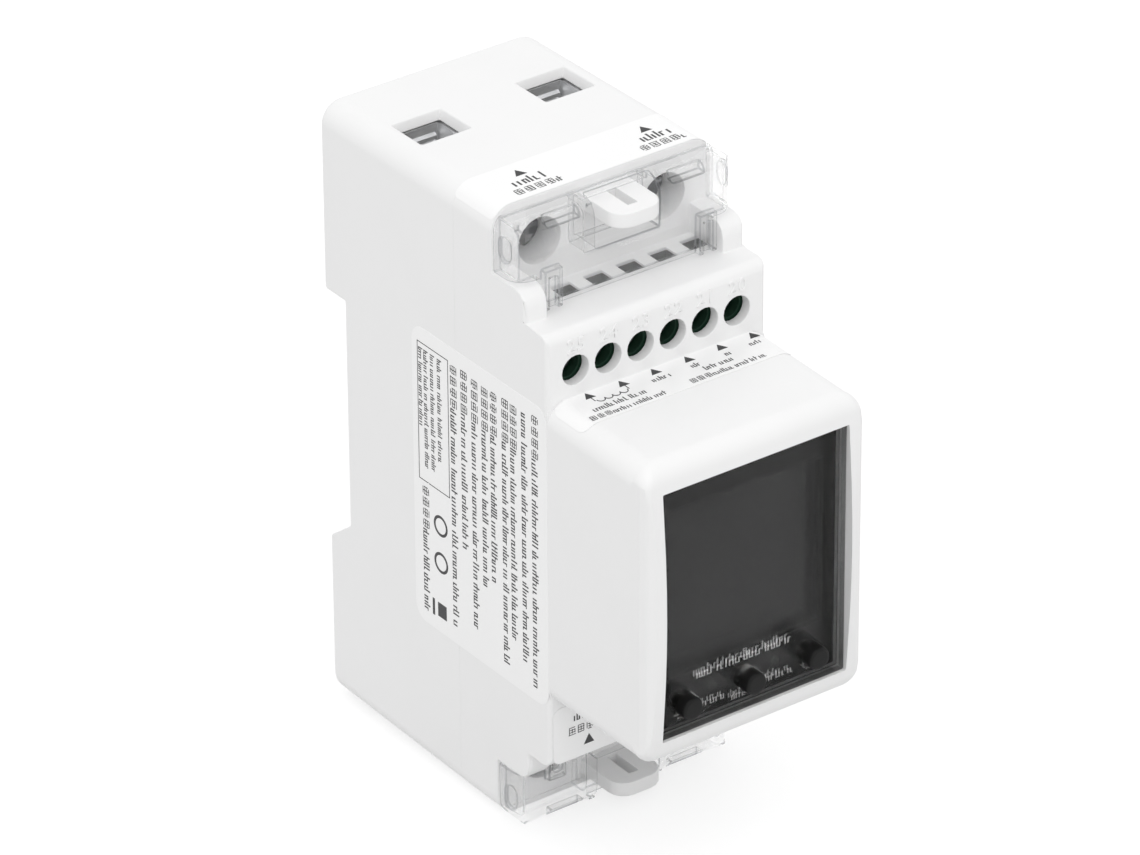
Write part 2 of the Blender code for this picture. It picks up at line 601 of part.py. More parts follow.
# Clear covers
def terminal_cover(end):
    """A clear bent cover with ears, pocket for the sealing tab, sight slots and two latch legs."""
    sign = ENDS[end]
    back = TERMINAL_DEPTH + GAP
    inside = HALF - LUG_WIDTH - GAP
    ear_inset = LUG_INSET - GAP
    foot_inset = STEP_INSET - GAP
    edge = at_end(end, COVER_INSET)
    foot = at_end(end, foot_inset)
    skin = sign * COVER_WALL
    inner_radius = COVER_RADIUS - COVER_WALL
    outline = [
        (back, edge, 0), (COVER_FRONT, edge, COVER_RADIUS), (COVER_FRONT, foot, 0),
        (COVER_FRONT - COVER_WALL, foot, 0), (COVER_FRONT - COVER_WALL, edge - skin, inner_radius),
        (back, edge - skin, 0),
    ]
    cover = extruded(f"{end}_terminal_cover", outline, "x", -HALF, HALF)
    for side in (-1, 1):
        below = sorted((side * inside, side * (HALF + OVER)))
        cut(cover, box(f"{end}_cover_corner_{side}", below, (back - OVER, COVER_FRONT + OVER),
                       between(end, ear_inset, foot_inset + OVER)))
        ear = [(back, edge, 0), (COVER_FRONT, edge, COVER_RADIUS),
               (COVER_FRONT, at_end(end, ear_inset), 0), (back, at_end(end, ear_inset), 0)]
        x = sorted((side * (HALF - COVER_WALL), side * HALF))
        join(cover, extruded(f"{end}_cover_ear_{side}", ear, "x", *x))
        cut(cover, dimple(end, side))
        join(cover, cover_leg(end, side, inside, foot_inset))
    half = POCKET_WIDTH / 2
    outer = half + POCKET_WALL
    pocket = between(end, COVER_INSET + COVER_WALL / 2, POCKET_INSET + POCKET_WALL)
    join(cover, box(f"{end}_pocket", (-outer, outer), (back + GAP, COVER_FRONT - COVER_WALL / 2), pocket))
    cut(cover, box(f"{end}_pocket_hollow", (-half, half), (back - OVER, COVER_FRONT + OVER),
                   between(end, COVER_INSET + COVER_WALL, POCKET_INSET)))
    cut(cover, box(f"{end}_pocket_mouth", (-half, half), (POCKET_LIP, COVER_FRONT + OVER),
                   between(end, -OVER, POCKET_INSET)))
    for side in (-1, 1):
        x = side * TERMINAL_PITCH / 2
        cut(cover, box(f"{end}_sight_{side}", (x - SIGHT_WIDTH / 2, x + SIGHT_WIDTH / 2),
                       (POCKET_LIP + COVER_WALL, COVER_FRONT + OVER),
                       between(end, COVER_INSET + COVER_WALL / 3, SIGHT_INSET)))
    return cover


def dimple(end, side):
    """The oval thumb mark sunk into the outside of one ear."""
    radius = DIMPLE_WIDTH / 2 - 0.01 * MM
    depth = (TERMINAL_DEPTH + COVER_FRONT) / 2
    low, high = between(end, LUG_INSET / 2 - DIMPLE_LENGTH / 2, LUG_INSET / 2 + DIMPLE_LENGTH / 2)
    back, front = depth - DIMPLE_WIDTH / 2, depth + DIMPLE_WIDTH / 2
    outline = [(back, low, radius), (front, low, radius), (front, high, radius), (back, high, radius)]
    x = sorted((side * (HALF - DIMPLE_DEPTH), side * (HALF + OVER)))
    return extruded(f"{end}_dimple_{side}", outline, "x", *x)


def cover_leg(end, side, inside, foot_inset):
    """A grooved latch leg beside one shoulder."""
    x = sorted((side * inside, side * (inside - LEG_WIDTH)))
    leg = box(f"{end}_cover_leg_{side}", x, (COVER_FRONT - COVER_WALL / 2, COVER_FRONT + LEG_PROUD),
              between(end, LEG_INSET, foot_inset))
    middle = sum(x) / 2
    cut(leg, box(f"{end}_leg_groove_{side}", (middle - LEG_GROOVE / 2, middle + LEG_GROOVE / 2),
                 (COVER_FRONT + LEG_PROUD / 3, COVER_FRONT + LEG_PROUD + OVER),
                 between(end, LEG_INSET + COVER_WALL, foot_inset + OVER)))
    return leg


# Rail clip
def din_clip():
    """The sliding rail clip: a T-section bar with a ramped hook and a pry slot."""
    front = CLIP_FRONT
    top = SEAT_HEIGHT - RAIL_HEIGHT / 2 + LIP_HOLD
    outline = [(CLIP_SUNK, CLIP_FOOT, 0), (front, CLIP_FOOT, 0), (front, top, 0),
               (front - CLIP_FLANGE_THICKNESS / 2, top, 0), (CLIP_SUNK, top - CLIP_RAMP, 0)]
    clip = extruded("din_clip", outline, "x", -CLIP_WIDTH / 2, CLIP_WIDTH / 2)
    wide = CLIP_WIDTH / 2 + CLIP_FLANGE
    join(clip, box("clip_flange", (-wide, wide), (front - CLIP_FLANGE_THICKNESS, front),
                   (CLIP_FOOT, NOTCH_BOTTOM - RAMP - GAP)))
    cut(clip, box("clip_pry_slot", (-PRY_SLOT_WIDTH / 2, PRY_SLOT_WIDTH / 2),
                  (CLIP_SUNK - OVER, front + OVER), (CLIP_FOOT + WALL, CLIP_FOOT + WALL + PRY_SLOT_HEIGHT)))
    return clip


# Power clamps
def clamp_cage(end, side):
    """A steel loop round the busbar that the screw draws forward onto the wire."""
    x = SIDES[side] * TERMINAL_PITCH / 2
    half = CAGE_WIDTH / 2
    height = between(end, END_WALL + GAP, CHAMBER_INSET - GAP)
    cage = box(f"{end}_{side}_cage", (x - half, x + half), (CAGE_BACK, CAGE_FRONT), height)
    inner = half - CAGE_SIDE_WALL
    cut(cage, box(f"{end}_{side}_cage_hollow", (x - inner, x + inner),
                  (CAGE_BACK + CAGE_BACK_WALL, CAGE_FRONT - CAGE_NUT_WALL),
                  (height[0] - OVER, height[1] + OVER)))
    cut(cage, rod(f"{end}_{side}_cage_thread", SHANK_RADIUS + GAP, x, at_end(end, SCREW_INSET),
                  (CAGE_FRONT - CAGE_NUT_WALL - OVER / 2, CAGE_FRONT + OVER), 16))
    return cage


def clamp_screw(end, side):
    """A slotted screw whose tip bears on the busbar."""
    x = SIDES[side] * TERMINAL_PITCH / 2
    head_back = HEAD_DEPTH - HEAD_LENGTH
    tip = BAR_DEPTH + BAR_THICKNESS + GAP
    edge = HEAD_RADIUS / 10
    profile = [(0, HEAD_DEPTH), (HEAD_RADIUS - edge, HEAD_DEPTH), (HEAD_RADIUS, HEAD_DEPTH - edge),
               (HEAD_RADIUS, head_back), (SHANK_RADIUS, head_back), (SHANK_RADIUS, tip + edge),
               (SHANK_RADIUS - edge, tip), (0, tip)]
    screw = turned(f"{end}_{side}_clamp_screw", profile, x, at_end(end, SCREW_INSET))
    cut(screw, box(f"{end}_{side}_screw_slot", (x - SLOT_WIDTH / 2, x + SLOT_WIDTH / 2),
                   (HEAD_DEPTH - SLOT_DEPTH, HEAD_DEPTH + OVER),
                   (at_end(end, SCREW_INSET) - SCREW_BORE, at_end(end, SCREW_INSET) + SCREW_BORE)))
    return screw


def busbar(side):
    """A flat bar from the upper clamp to the lower one, necked where the transformer sits."""
    x = SIDES[side] * TERMINAL_PITCH / 2
    half = BAR_WIDTH / 2
    neck = BAR_NECK / 2
    reach = TRANSFORMER_HEIGHT
    shoulder = half - neck
    right = [(x + half, BAR_INSET, shoulder), (x + half, MIDDLE - reach, 0),
             (x + neck, MIDDLE - reach + shoulder, 0), (x + neck, MIDDLE + reach - shoulder, 0),
             (x + half, MIDDLE + reach, 0), (x + half, HEIGHT - BAR_INSET, shoulder)]
    left = [(2 * x - u, v, radius) for u, v, radius in reversed(right)]
    return extruded(f"{side}_busbar", right + left, "depth", BAR_DEPTH, BAR_DEPTH + BAR_THICKNESS)


def current_transformer():
    """A potted ring that the line bar passes through, on a foot that reaches the main board."""
    x = TERMINAL_PITCH / 2
    half = TRANSFORMER_RADIUS
    middle = BAR_DEPTH + BAR_THICKNESS / 2
    outline = [(x - half, middle - half, half - WALL / 3), (x + half, middle - half, half - WALL / 3),
               (x + half, MAIN_BOARD_DEPTH - GAP, 0), (x - half, MAIN_BOARD_DEPTH - GAP, 0)]
    low = MIDDLE - TRANSFORMER_HEIGHT / 2
    high = MIDDLE + TRANSFORMER_HEIGHT / 2
    case = extruded("current_transformer", outline, "height", low, high)
    bore = rod("transformer_bore", TRANSFORMER_BORE, x, MIDDLE, (middle - OVER, middle + OVER), 20)
    bore.data.transform(Matrix.Rotation(math.pi / 2, 4, "X"))
    bore.data.transform(Matrix.Diagonal((1, 1, TRANSFORMER_HEIGHT / OVER, 1)))
    cut(case, bore)
    return case


# Signal terminals
def signal_block():
    """The green six-way block with a screw bore and a wire port for each pole."""
    top = HEIGHT - STEP_INSET - WALL - GAP
    half = INNER - GAP
    block = box("signal_terminal_block", (-half, half), (SIGNAL_BACK, SIGNAL_FRONT),
                (SIGNAL_HEIGHT - SIGNAL_BELOW, top))
    for index in range(SIGNAL_COUNT):
        x = signal_x(index)
        cut(block, rod(f"signal_bore_{index}", SIGNAL_BORE, x, SIGNAL_HEIGHT,
                       (SIGNAL_SLOT_DEPTH, SIGNAL_FRONT + OVER), 16))
        cut(block, signal_slot(f"signal_port_{index}", x, (SIGNAL_HEIGHT, top + OVER)))
        half_pin = PIN_SIZE / 2
        join(block, box(f"signal_pin_{index}", (x - half_pin, x + half_pin),
                        (MAIN_FACE + GAP, SIGNAL_BACK + OVER / 2),
                        (SIGNAL_HEIGHT - half_pin, SIGNAL_HEIGHT + half_pin)))
    return block


def signal_screw(index):
    """A small slotted clamp screw of the signal block."""
    back = SIGNAL_HEAD_DEPTH - SIGNAL_HEAD_LENGTH
    tip = back - SIGNAL_SHANK_LENGTH
    profile = [(0, SIGNAL_HEAD_DEPTH), (SIGNAL_HEAD, SIGNAL_HEAD_DEPTH), (SIGNAL_HEAD, back),
               (SIGNAL_SHANK, back), (SIGNAL_SHANK, tip), (0, tip)]
    x = signal_x(index)
    screw = turned(f"signal_screw_{index + 1}", profile, x, SIGNAL_HEIGHT, 16)
    half = SLOT_WIDTH / 4
    cut(screw, box(f"signal_screw_slot_{index}", (x - half, x + half),
                   (SIGNAL_HEAD_DEPTH - SLOT_DEPTH / 2, SIGNAL_HEAD_DEPTH + OVER),
                   (SIGNAL_HEIGHT - SIGNAL_BORE, SIGNAL_HEIGHT + SIGNAL_BORE)))
    return screw


# Display, boards and buttons
def display_window():
    """The tinted pane behind the bezel, with three button holes."""
    half = WINDOW_WIDTH / 2 + PANE_MARGIN
    pane = box("display_window", (-half, half), (PANE_BACK, PANE_FRONT),
               (WINDOW_BOTTOM - PANE_MARGIN, WINDOW_TOP + PANE_MARGIN))
    for index in range(-1, 2):
        cut(pane, rod(f"button_hole_{index}", BUTTON_RADIUS + GAP, index * BUTTON_PITCH, BUTTON_HEIGHT,
                      (PANE_BACK - OVER, PANE_FRONT + OVER)))
    return pane


def button(name, place_number):
    """A round plunger held behind the pane by its flange."""
    flange_front = PANE_BACK - GAP
    flange_back = flange_front - BUTTON_FLANGE_THICKNESS
    crown = BUTTON_RADIUS / 6
    profile = [(0, BUTTON_FRONT), (BUTTON_RADIUS - crown, BUTTON_FRONT),
               (BUTTON_RADIUS, BUTTON_FRONT - crown), (BUTTON_RADIUS, flange_front),
               (BUTTON_FLANGE, flange_front), (BUTTON_FLANGE, flange_back),
               (ACTUATOR_RADIUS, flange_back), (ACTUATOR_RADIUS, flange_back - BUTTON_TAIL),
               (0, flange_back - BUTTON_TAIL)]
    return turned(f"button_{name}", profile, place_number * BUTTON_PITCH, BUTTON_HEIGHT)


def button_switch(name, place_number):
    """The small switch on the display board that a button presses."""
    x = place_number * BUTTON_PITCH
    back = DISPLAY_FACE + GAP
    half = SWITCH_SIZE / 2
    switch = box(f"switch_{name}", (x - half, x + half), (back, back + SWITCH_THICKNESS),
                 (BUTTON_HEIGHT - half, BUTTON_HEIGHT + half))
    tail = PANE_BACK - GAP - BUTTON_FLANGE_THICKNESS - BUTTON_TAIL
    join(switch, rod(f"switch_actuator_{name}", ACTUATOR_RADIUS, x, BUTTON_HEIGHT,
                     (back + SWITCH_THICKNESS - OVER, tail - BUTTON_TRAVEL - GAP), 16))
    return switch


def indicator(name, sign):
    """A domed indicator lamp that stands on the display board behind the pane."""
    back = DISPLAY_FACE + GAP
    front = PANE_BACK - GAP
    shoulder = front - LED_RADIUS
    dome = [(LED_RADIUS * math.sin(a), shoulder + LED_RADIUS * math.cos(a))
            for a in (math.radians(15 * step) for step in range(7))]
    dome[0] = (0, front)
    return turned(f"indicator_{name}", dome + [(LED_RADIUS, back), (0, back)], sign * LED_OFFSET,
                  BUTTON_HEIGHT, 16)


def board(name, back, height):
    half = INNER - GAP
    return box(name, (-half, half), (back, back + BOARD_THICKNESS), height)


def inner_parts():
    """Boards, display glass, backlight, connector and the two large capacitors."""
    nose_low = NOSE_INSET + WALL + DISPLAY_BOARD_MARGIN
    body_low = STEP_INSET + WALL + MAIN_BOARD_MARGIN
    glass_front = PANE_BACK - GAP
    glass_back = glass_front - LCD_THICKNESS
    lcd_half = WINDOW_WIDTH / 2 - LCD_SIDE
    lcd = (BUTTON_HEIGHT + LCD_OVER_BUTTONS, WINDOW_TOP - LCD_ABOVE)
    connector_half = CONNECTOR_WIDTH / 2
    connector_top = HEIGHT - nose_low - CONNECTOR_MARGIN
    film_left = -INNER + WALL
    film_low = body_low + FILM_MARGIN
    on_board = MAIN_FACE + GAP
    return {
        "display_board": board("display_board", DISPLAY_BOARD_DEPTH, (nose_low, HEIGHT - nose_low)),
        "main_board": board("main_board", MAIN_BOARD_DEPTH, (body_low, HEIGHT - body_low)),
        "lcd_glass": box("lcd_glass", (-lcd_half, lcd_half), (glass_back, glass_front), lcd),
        "lcd_backlight": box("lcd_backlight", (-lcd_half, lcd_half),
                             (DISPLAY_FACE + GAP, glass_back - GAP), lcd),
        "board_connector": box("board_connector", (-connector_half, connector_half),
                               (on_board, DISPLAY_BOARD_DEPTH - GAP),
                               (connector_top - CONNECTOR_HEIGHT, connector_top)),
        "film_capacitor": box("film_capacitor", (film_left, film_left + FILM_WIDTH),
                              (on_board, on_board + FILM_DEPTH), (film_low, film_low + FILM_HEIGHT)),
        "electrolytic_capacitor": rod("electrolytic_capacitor", CAN_RADIUS, TERMINAL_PITCH / 2, MIDDLE,
                                      (on_board, on_board + CAN_LENGTH)),
    }


# Materials: base colour, roughness, metallic, transmission
FINISHES = {
    "housing_white": ((0.86, 0.86, 0.86), 0.42, 0.0, 0.0),
    "clear_polycarbonate": ((0.93, 0.95, 0.96), 0.08, 0.0, 0.9),
    "tinted_pane": ((0.012, 0.012, 0.014), 0.10, 0.0, 0.3),
    "button_black": ((0.015, 0.015, 0.016), 0.45, 0.0, 0.0),
    "clip_white": ((0.78, 0.78, 0.78), 0.5, 0.0, 0.0),
    "zinc_steel": ((0.55, 0.56, 0.58), 0.35, 1.0, 0.0),
    "tinned_copper": ((0.68, 0.66, 0.63), 0.3, 1.0, 0.0),
    "terminal_green": ((0.03, 0.16, 0.08), 0.5, 0.0, 0.0),
    "board_green": ((0.02, 0.12, 0.05), 0.5, 0.0, 0.0),
    "lcd_grey": ((0.045, 0.047, 0.05), 0.15, 0.0, 0.0),
    "backlight_white": ((0.8, 0.8, 0.78), 0.5, 0.0, 0.0),
    "potting_black": ((0.03, 0.03, 0.03), 0.6, 0.0, 0.0),
    "film_yellow": ((0.55, 0.35, 0.05), 0.45, 0.0, 0.0),
    "can_sleeve": ((0.03, 0.04, 0.08), 0.4, 0.0, 0.0),
    "lamp_red": ((0.35, 0.03, 0.03), 0.2, 0.0, 0.3),
}


def finish(item, material_name):
    """Give an object its own Principled material and smooth round faces."""
    colour, roughness, metallic, transmission = FINISHES[material_name]
    material = bpy.data.materials.new(f"{item.name}_{material_name}")
    material.use_nodes = True
    shader = material.node_tree.nodes["Principled BSDF"]
    shader.inputs["Base Color"].default_value = (*colour, 1)
    shader.inputs["Roughness"].default_value = roughness
    shader.inputs["Metallic"].default_value = metallic
    shader.inputs["Transmission Weight"].default_value = transmission
    material.diffuse_color = (*colour, 1)
    item.data.materials.append(material)
    item.data.shade_smooth()
    item.data.set_sharp_from_angle(angle=math.radians(35))


def build():
    reset()
    finish(rear_housing(), "housing_white")
    finish(front_housing(), "housing_white")
    finish(din_clip(), "clip_white")
    for end in ENDS:
        finish(terminal_cover(end), "clear_polycarbonate")
        for side in SIDES:
            finish(clamp_cage(end, side), "zinc_steel")
            finish(clamp_screw(end, side), "zinc_steel")
    for side in SIDES:
        finish(busbar(side), "tinned_copper")
    finish(current_transformer(), "potting_black")
    finish(signal_block(), "terminal_green")
    for index in range(SIGNAL_COUNT):
        finish(signal_screw(index), "zinc_steel")
    finish(display_window(), "tinted_pane")
    for place_number, name in ((-1, "minus"), (0, "menu"), (1, "plus")):
        finish(button(name, place_number), "button_black")
        finish(button_switch(name, place_number), "potting_black")
    for name, sign in (("power", -1), ("link", 1)):
        finish(indicator(name, sign), "lamp_red")
    inner = inner_parts()
    inner_finishes = {"display_board": "board_green", "main_board": "board_green", "lcd_glass": "lcd_grey",
                      "lcd_backlight": "backlight_white", "board_connector": "potting_black",
                      "film_capacitor": "film_yellow", "electrolytic_capacitor": "can_sleeve"}
    for name, material_name in inner_finishes.items():
        finish(inner[name], material_name)


build()
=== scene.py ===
import math
import random

import bmesh
import bpy
from mathutils import Matrix, Vector


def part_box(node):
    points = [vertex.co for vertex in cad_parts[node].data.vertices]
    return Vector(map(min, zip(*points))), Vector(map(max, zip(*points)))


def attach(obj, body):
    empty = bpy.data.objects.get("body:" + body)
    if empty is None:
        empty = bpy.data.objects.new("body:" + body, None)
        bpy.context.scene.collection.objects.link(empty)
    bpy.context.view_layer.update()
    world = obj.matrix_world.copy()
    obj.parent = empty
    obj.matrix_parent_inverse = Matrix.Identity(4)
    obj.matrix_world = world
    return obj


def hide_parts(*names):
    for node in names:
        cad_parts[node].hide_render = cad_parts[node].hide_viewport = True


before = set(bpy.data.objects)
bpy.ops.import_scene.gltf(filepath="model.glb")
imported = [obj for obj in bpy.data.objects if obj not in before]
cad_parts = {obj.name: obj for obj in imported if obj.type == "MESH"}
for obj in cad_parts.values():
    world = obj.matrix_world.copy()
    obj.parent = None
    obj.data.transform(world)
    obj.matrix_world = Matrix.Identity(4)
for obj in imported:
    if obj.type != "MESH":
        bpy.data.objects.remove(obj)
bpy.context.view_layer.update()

# Rear housing
# The back half of the case, with the rail seat, the clip's track and the four wire windows. It is
# injection moulded in white flame-retardant plastic with a fine spark-eroded skin, and it snaps
# into the front half.
SEAT_DEPTH, SEAT_HEIGHT = 5.3, 47.5     # the rail seat, in millimetres from the back and from the bottom
MIDDLE = 47                             # half the height of the case
CASE_WIDE, CASE_TALL = 35.97, 93.9      # the outline, a hair inside the moulded walls
CASE_ROUND = 3.3                        # round along the long edges of the case
BACK, REAR_FRONT = -0.01, 31.99
BACK_TAPER, BACK_ROUND = 0.9872, 1.1
REAR_RIM = 31                           # edge of the rear half at the joint
HOUSING_EDGE = 0.22                     # rounding that the mould leaves on sharp edges
WHITE = (0.885, 0.885, 0.885)


def started(name):
    """A new material with its node tree and its shader."""
    material = bpy.data.materials.new(name)
    material.use_nodes = True
    return material, material.node_tree, material.node_tree.nodes["Principled BSDF"]


def noise(tree, where, scale, detail):
    """Noise between nought and one."""
    texture = tree.nodes.new("ShaderNodeTexNoise")
    texture.inputs["Scale"].default_value = scale
    texture.inputs["Detail"].default_value = detail
    tree.links.new(where, texture.inputs["Vector"])
    return texture.outputs["Fac"]


def blend(tree, factor, low, high):
    """A colour that goes from low to high with the factor; low may come from another node."""
    tone = tree.nodes.new("ShaderNodeMix")
    tone.data_type = "RGBA"
    for socket, colour in ((tone.inputs["A"], low), (tone.inputs["B"], high)):
        if isinstance(colour, bpy.types.NodeSocket):
            tree.links.new(colour, socket)
        else:
            socket.default_value = (*colour, 1)
    tree.links.new(factor, tone.inputs["Factor"])
    return tone.outputs["Result"]


def spread(tree, factor, low, high, start=0.0):
    """A number that goes from low to high while the factor goes from start to one."""
    scaled = tree.nodes.new("ShaderNodeMapRange")
    scaled.inputs["From Min"].default_value = start
    scaled.inputs["To Min"].default_value = low
    scaled.inputs["To Max"].default_value = high
    tree.links.new(factor, scaled.inputs["Value"])
    return scaled.outputs["Result"]


def bumped(tree, height, relief):
    """A surface that stands out by the relief where the height is one."""
    bump = tree.nodes.new("ShaderNodeBump")
    bump.inputs["Distance"].default_value = relief
    tree.links.new(height, bump.inputs["Height"])
    return bump.outputs["Normal"]


def moulded(name, colour, rough, grain=0.00030, relief=0.000003, uneven=0.02, specular=0.5):
    """A moulded plastic: fine grain, with tone and gloss that drift a little over the part."""
    material, tree, shader = started(name)
    shader.inputs["IOR"].default_value = 1.5
    shader.inputs["Specular IOR Level"].default_value = specular
    where = tree.nodes.new("ShaderNodeTexCoord").outputs["Object"]
    fine = noise(tree, where, 1 / grain, 3)
    broad = noise(tree, where, 95, 4)
    darker = [part * (1 - uneven) for part in colour]
    lighter = [min(part * (1 + uneven), 1) for part in colour]
    tree.links.new(blend(tree, broad, darker, lighter), shader.inputs["Base Color"])
    tree.links.new(spread(tree, broad, rough * 0.85, rough * 1.2), shader.inputs["Roughness"])
    tree.links.new(bumped(tree, fine, relief), shader.inputs["Normal"])
    return material


def only(piece):
    """Leave everything else and take up this one piece."""
    bpy.ops.object.select_all(action="DESELECT")
    piece.select_set(True)
    bpy.context.view_layer.objects.active = piece


def copied(node, name):
    """The solid's own shape as a new piece, with its loose triangles joined to plain faces."""
    piece = bpy.data.objects.new(name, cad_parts[node].data.copy())
    bpy.context.scene.collection.objects.link(piece)
    piece.data.materials.clear()
    only(piece)
    bpy.ops.object.mode_set(mode="EDIT")
    bpy.ops.mesh.select_all(action="SELECT")
    bpy.ops.mesh.remove_doubles(threshold=0.000001)
    bpy.ops.mesh.dissolve_limited(angle_limit=math.radians(1))
    bpy.ops.object.mode_set(mode="OBJECT")
    if piece.data.has_custom_normals:
        bpy.ops.mesh.customdata_custom_splitnormals_clear()
    return piece


def pick(piece, kind, wanted):
    """In edit mode, take up the edges or faces that are wanted and leave the rest."""
    bpy.ops.mesh.select_mode(type=kind)
    bpy.ops.mesh.select_all(action="DESELECT")
    shape = bmesh.from_edit_mesh(piece.data)
    for item in shape.edges if kind == "EDGE" else shape.faces:
        if wanted(item):
            item.select_set(True)
    bmesh.update_edit_mesh(piece.data)


def round_edges(piece, edge, limit=38, kept=None, finish=-1):
    """Bevel what is sharper than the limit, but not the kept edges; then shade rounds smooth, flats flat."""
    sharp = math.radians(limit)

    def rounded(line):
        if kept and all(kept(end.co) for end in line.verts):
            return False
        return line.calc_face_angle(0) > sharp

    only(piece)
    bpy.ops.object.mode_set(mode="EDIT")
    pick(piece, "EDGE", rounded)
    bpy.ops.mesh.bevel(offset=edge / 1000, segments=2, affect="EDGES", clamp_overlap=False,
                       miter_outer="ARC", material=finish)
    bpy.ops.object.mode_set(mode="OBJECT")
    bpy.ops.object.shade_smooth_by_angle(angle=sharp, keep_sharp_edges=False)
    weighted = piece.modifiers.new("flats", "WEIGHTED_NORMAL")
    weighted.keep_sharp = True
    bpy.ops.object.modifier_apply(modifier="flats")


def softened(node, name, edge):
    """The solid's own shape as a new piece, with its sharp edges rounded."""
    piece = copied(node, name)
    round_edges(piece, edge)
    return piece


def settle(piece):
    """Give the piece's place to its mesh."""
    only(piece)
    bpy.ops.object.transform_apply(location=True, rotation=True, scale=True)


def at(x, depth, height):
    """A place in the case by its millimetres across, forward from the back and up from the bottom."""
    return Vector((x, SEAT_DEPTH - depth, height - SEAT_HEIGHT)) / 1000


def brick(centre, wide, deep, tall):
    """A plain block to shape further, with its size in millimetres."""
    bpy.ops.object.select_all(action="DESELECT")
    bpy.ops.mesh.primitive_cube_add(size=1, location=centre, scale=(wide / 1000, deep / 1000, tall / 1000))
    return bpy.context.object


def combine(piece, tool, how):
    """Join, cut or trim a piece with another shape, which is used up."""
    only(piece)
    step = piece.modifiers.new("step", "BOOLEAN")
    step.operation = how
    step.solver = "EXACT"
    step.object = tool
    bpy.ops.object.modifier_apply(modifier="step")
    bpy.data.objects.remove(tool)


def end_block(back, front):
    """A block just round the case between two depths, with the wide round of its long edges, in edit mode."""
    block = brick(at(0, (back + front) / 2, MIDDLE), CASE_WIDE, front - back, CASE_TALL)
    settle(block)
    bpy.ops.object.mode_set(mode="EDIT")
    pick(block, "EDGE", lambda line: abs(line.verts[0].co.y - line.verts[1].co.y) > 0.001)
    bpy.ops.mesh.bevel(offset=CASE_ROUND / 1000, segments=9, affect="EDGES", clamp_overlap=False)
    return block


white = moulded("white plastic", WHITE, 0.42)
rear_case = copied("rear_housing", "rear_case")
block = end_block(BACK, REAR_FRONT)
back = at(0, BACK, 0).y
pick(block, "FACE", lambda face: face.normal.y > 0.9)
bpy.ops.transform.resize(value=(1, 1, BACK_TAPER))
pick(block, "EDGE", lambda line: all(abs(end.co.y - back) < 0.00001 for end in line.verts))
bpy.ops.mesh.bevel(offset=BACK_ROUND / 1000, segments=5, affect="EDGES", clamp_overlap=False)
bpy.ops.object.mode_set(mode="OBJECT")
combine(rear_case, block, "INTERSECT")
round_edges(rear_case, HOUSING_EDGE, kept=lambda point: abs(point.y - at(0, REAR_RIM, 0).y) < 0.00002)
rear_case.data.materials.append(white)
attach(rear_case, "case")
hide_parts("rear_housing")

# Rail clip
# The sliding latch that hooks under the rail's lower edge. It is moulded in a tougher and slightly
# greyer white plastic and is pushed into its track from below.
clip = softened("din_clip", "rail_latch", 0.2)
clip.data.materials.append(moulded("latch plastic", (0.74, 0.745, 0.75), 0.5, relief=0.000005))
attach(clip, "rail_clip")
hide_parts("din_clip")

# Front housing
# The stepped front half with shoulders, ledge, the row of six screw holes and the arched display
# end. Same white plastic; the terminal numbers stand a little proud above the holes.
FRONT_RIM, CLOSED_BY = 31.3, 0.28       # its edge at the joint, brought back until the gap is a hairline
FRONT_BACK, STEP_FRONT = 30, 51.68
NOSE_HALF = 17.985                      # half the width of the display end, a hair inside the wall
NOSE_ROUND = 3.3                        # round along its long edges where it leaves the step
BEND_DEPTH, BEND_HEIGHT, BEND_RADIUS = 70.1, 66.77, 3.05    # from its top over to its front
ARCH_FRONT, ARCH_FALL = 74.42, 0.00292  # the front falls back with the square of the height
POLES = [(pole - 2.5) * 5.3 for pole in range(6)]           # the signal terminals, across
NUMBER_HEIGHT = 77.7


def nose_block():
    """A block just round the display end: its long edges roll over widely and its arched front tightly."""
    # The upper half of its side view: depth, height and how far the long edges roll over there
    side = [(50.9, 70.185, NOSE_ROUND), (60, 70.015, NOSE_ROUND), (BEND_DEPTH, 69.825, NOSE_ROUND)]
    for turn in range(1, 9):
        angle = math.radians(turn * 10.6)
        side.append((BEND_DEPTH + BEND_RADIUS * math.sin(angle), BEND_HEIGHT + BEND_RADIUS * math.cos(angle),
                     NOSE_ROUND - 0.26 * turn))
    side += [(ARCH_FRONT - ARCH_FALL * rise ** 2, MIDDLE + rise, 1.2) for rise in range(18, -1, -3)]
    side += [(depth, 2 * MIDDLE - height, over) for depth, height, over in reversed(side[:-1])]
    shape = bmesh.new()
    rows = []
    for place, (depth, height, over) in enumerate(side):
        before, after = side[max(place - 1, 0)], side[min(place + 1, len(side) - 1)]
        inward = Vector((before[1] - after[1], after[0] - before[0])).normalized()
        if place in (0, len(side) - 1):
            inward = Vector((0, -1 if place == 0 else 1))
        if inward.dot(Vector((60 - depth, MIDDLE - height))) < 0:
            inward = -inward
        row = []
        for turn in range(9):
            angle = math.radians(90 * turn / 8)
            down = over * (1 - math.sin(angle))
            row.append((NOSE_HALF - over * (1 - math.cos(angle)), depth + inward.x * down,
                        height + inward.y * down))
        rows.append([shape.verts.new(at(*point)) for point in row]
                    + [shape.verts.new(at(-x, *point)) for x, *point in reversed(row)])
    for place, row in enumerate(rows):
        ahead = rows[(place + 1) % len(rows)]
        for step in range(len(row) - 1):
            shape.faces.new((row[step], row[step + 1], ahead[step + 1], ahead[step]))
    shape.faces.new([row[0] for row in rows])
    shape.faces.new([row[-1] for row in rows])
    bmesh.ops.recalc_face_normals(shape, faces=shape.faces)
    mesh = bpy.data.meshes.new("nose_block")
    shape.to_mesh(mesh)
    shape.free()
    block = bpy.data.objects.new("nose_block", mesh)
    bpy.context.scene.collection.objects.link(block)
    return block


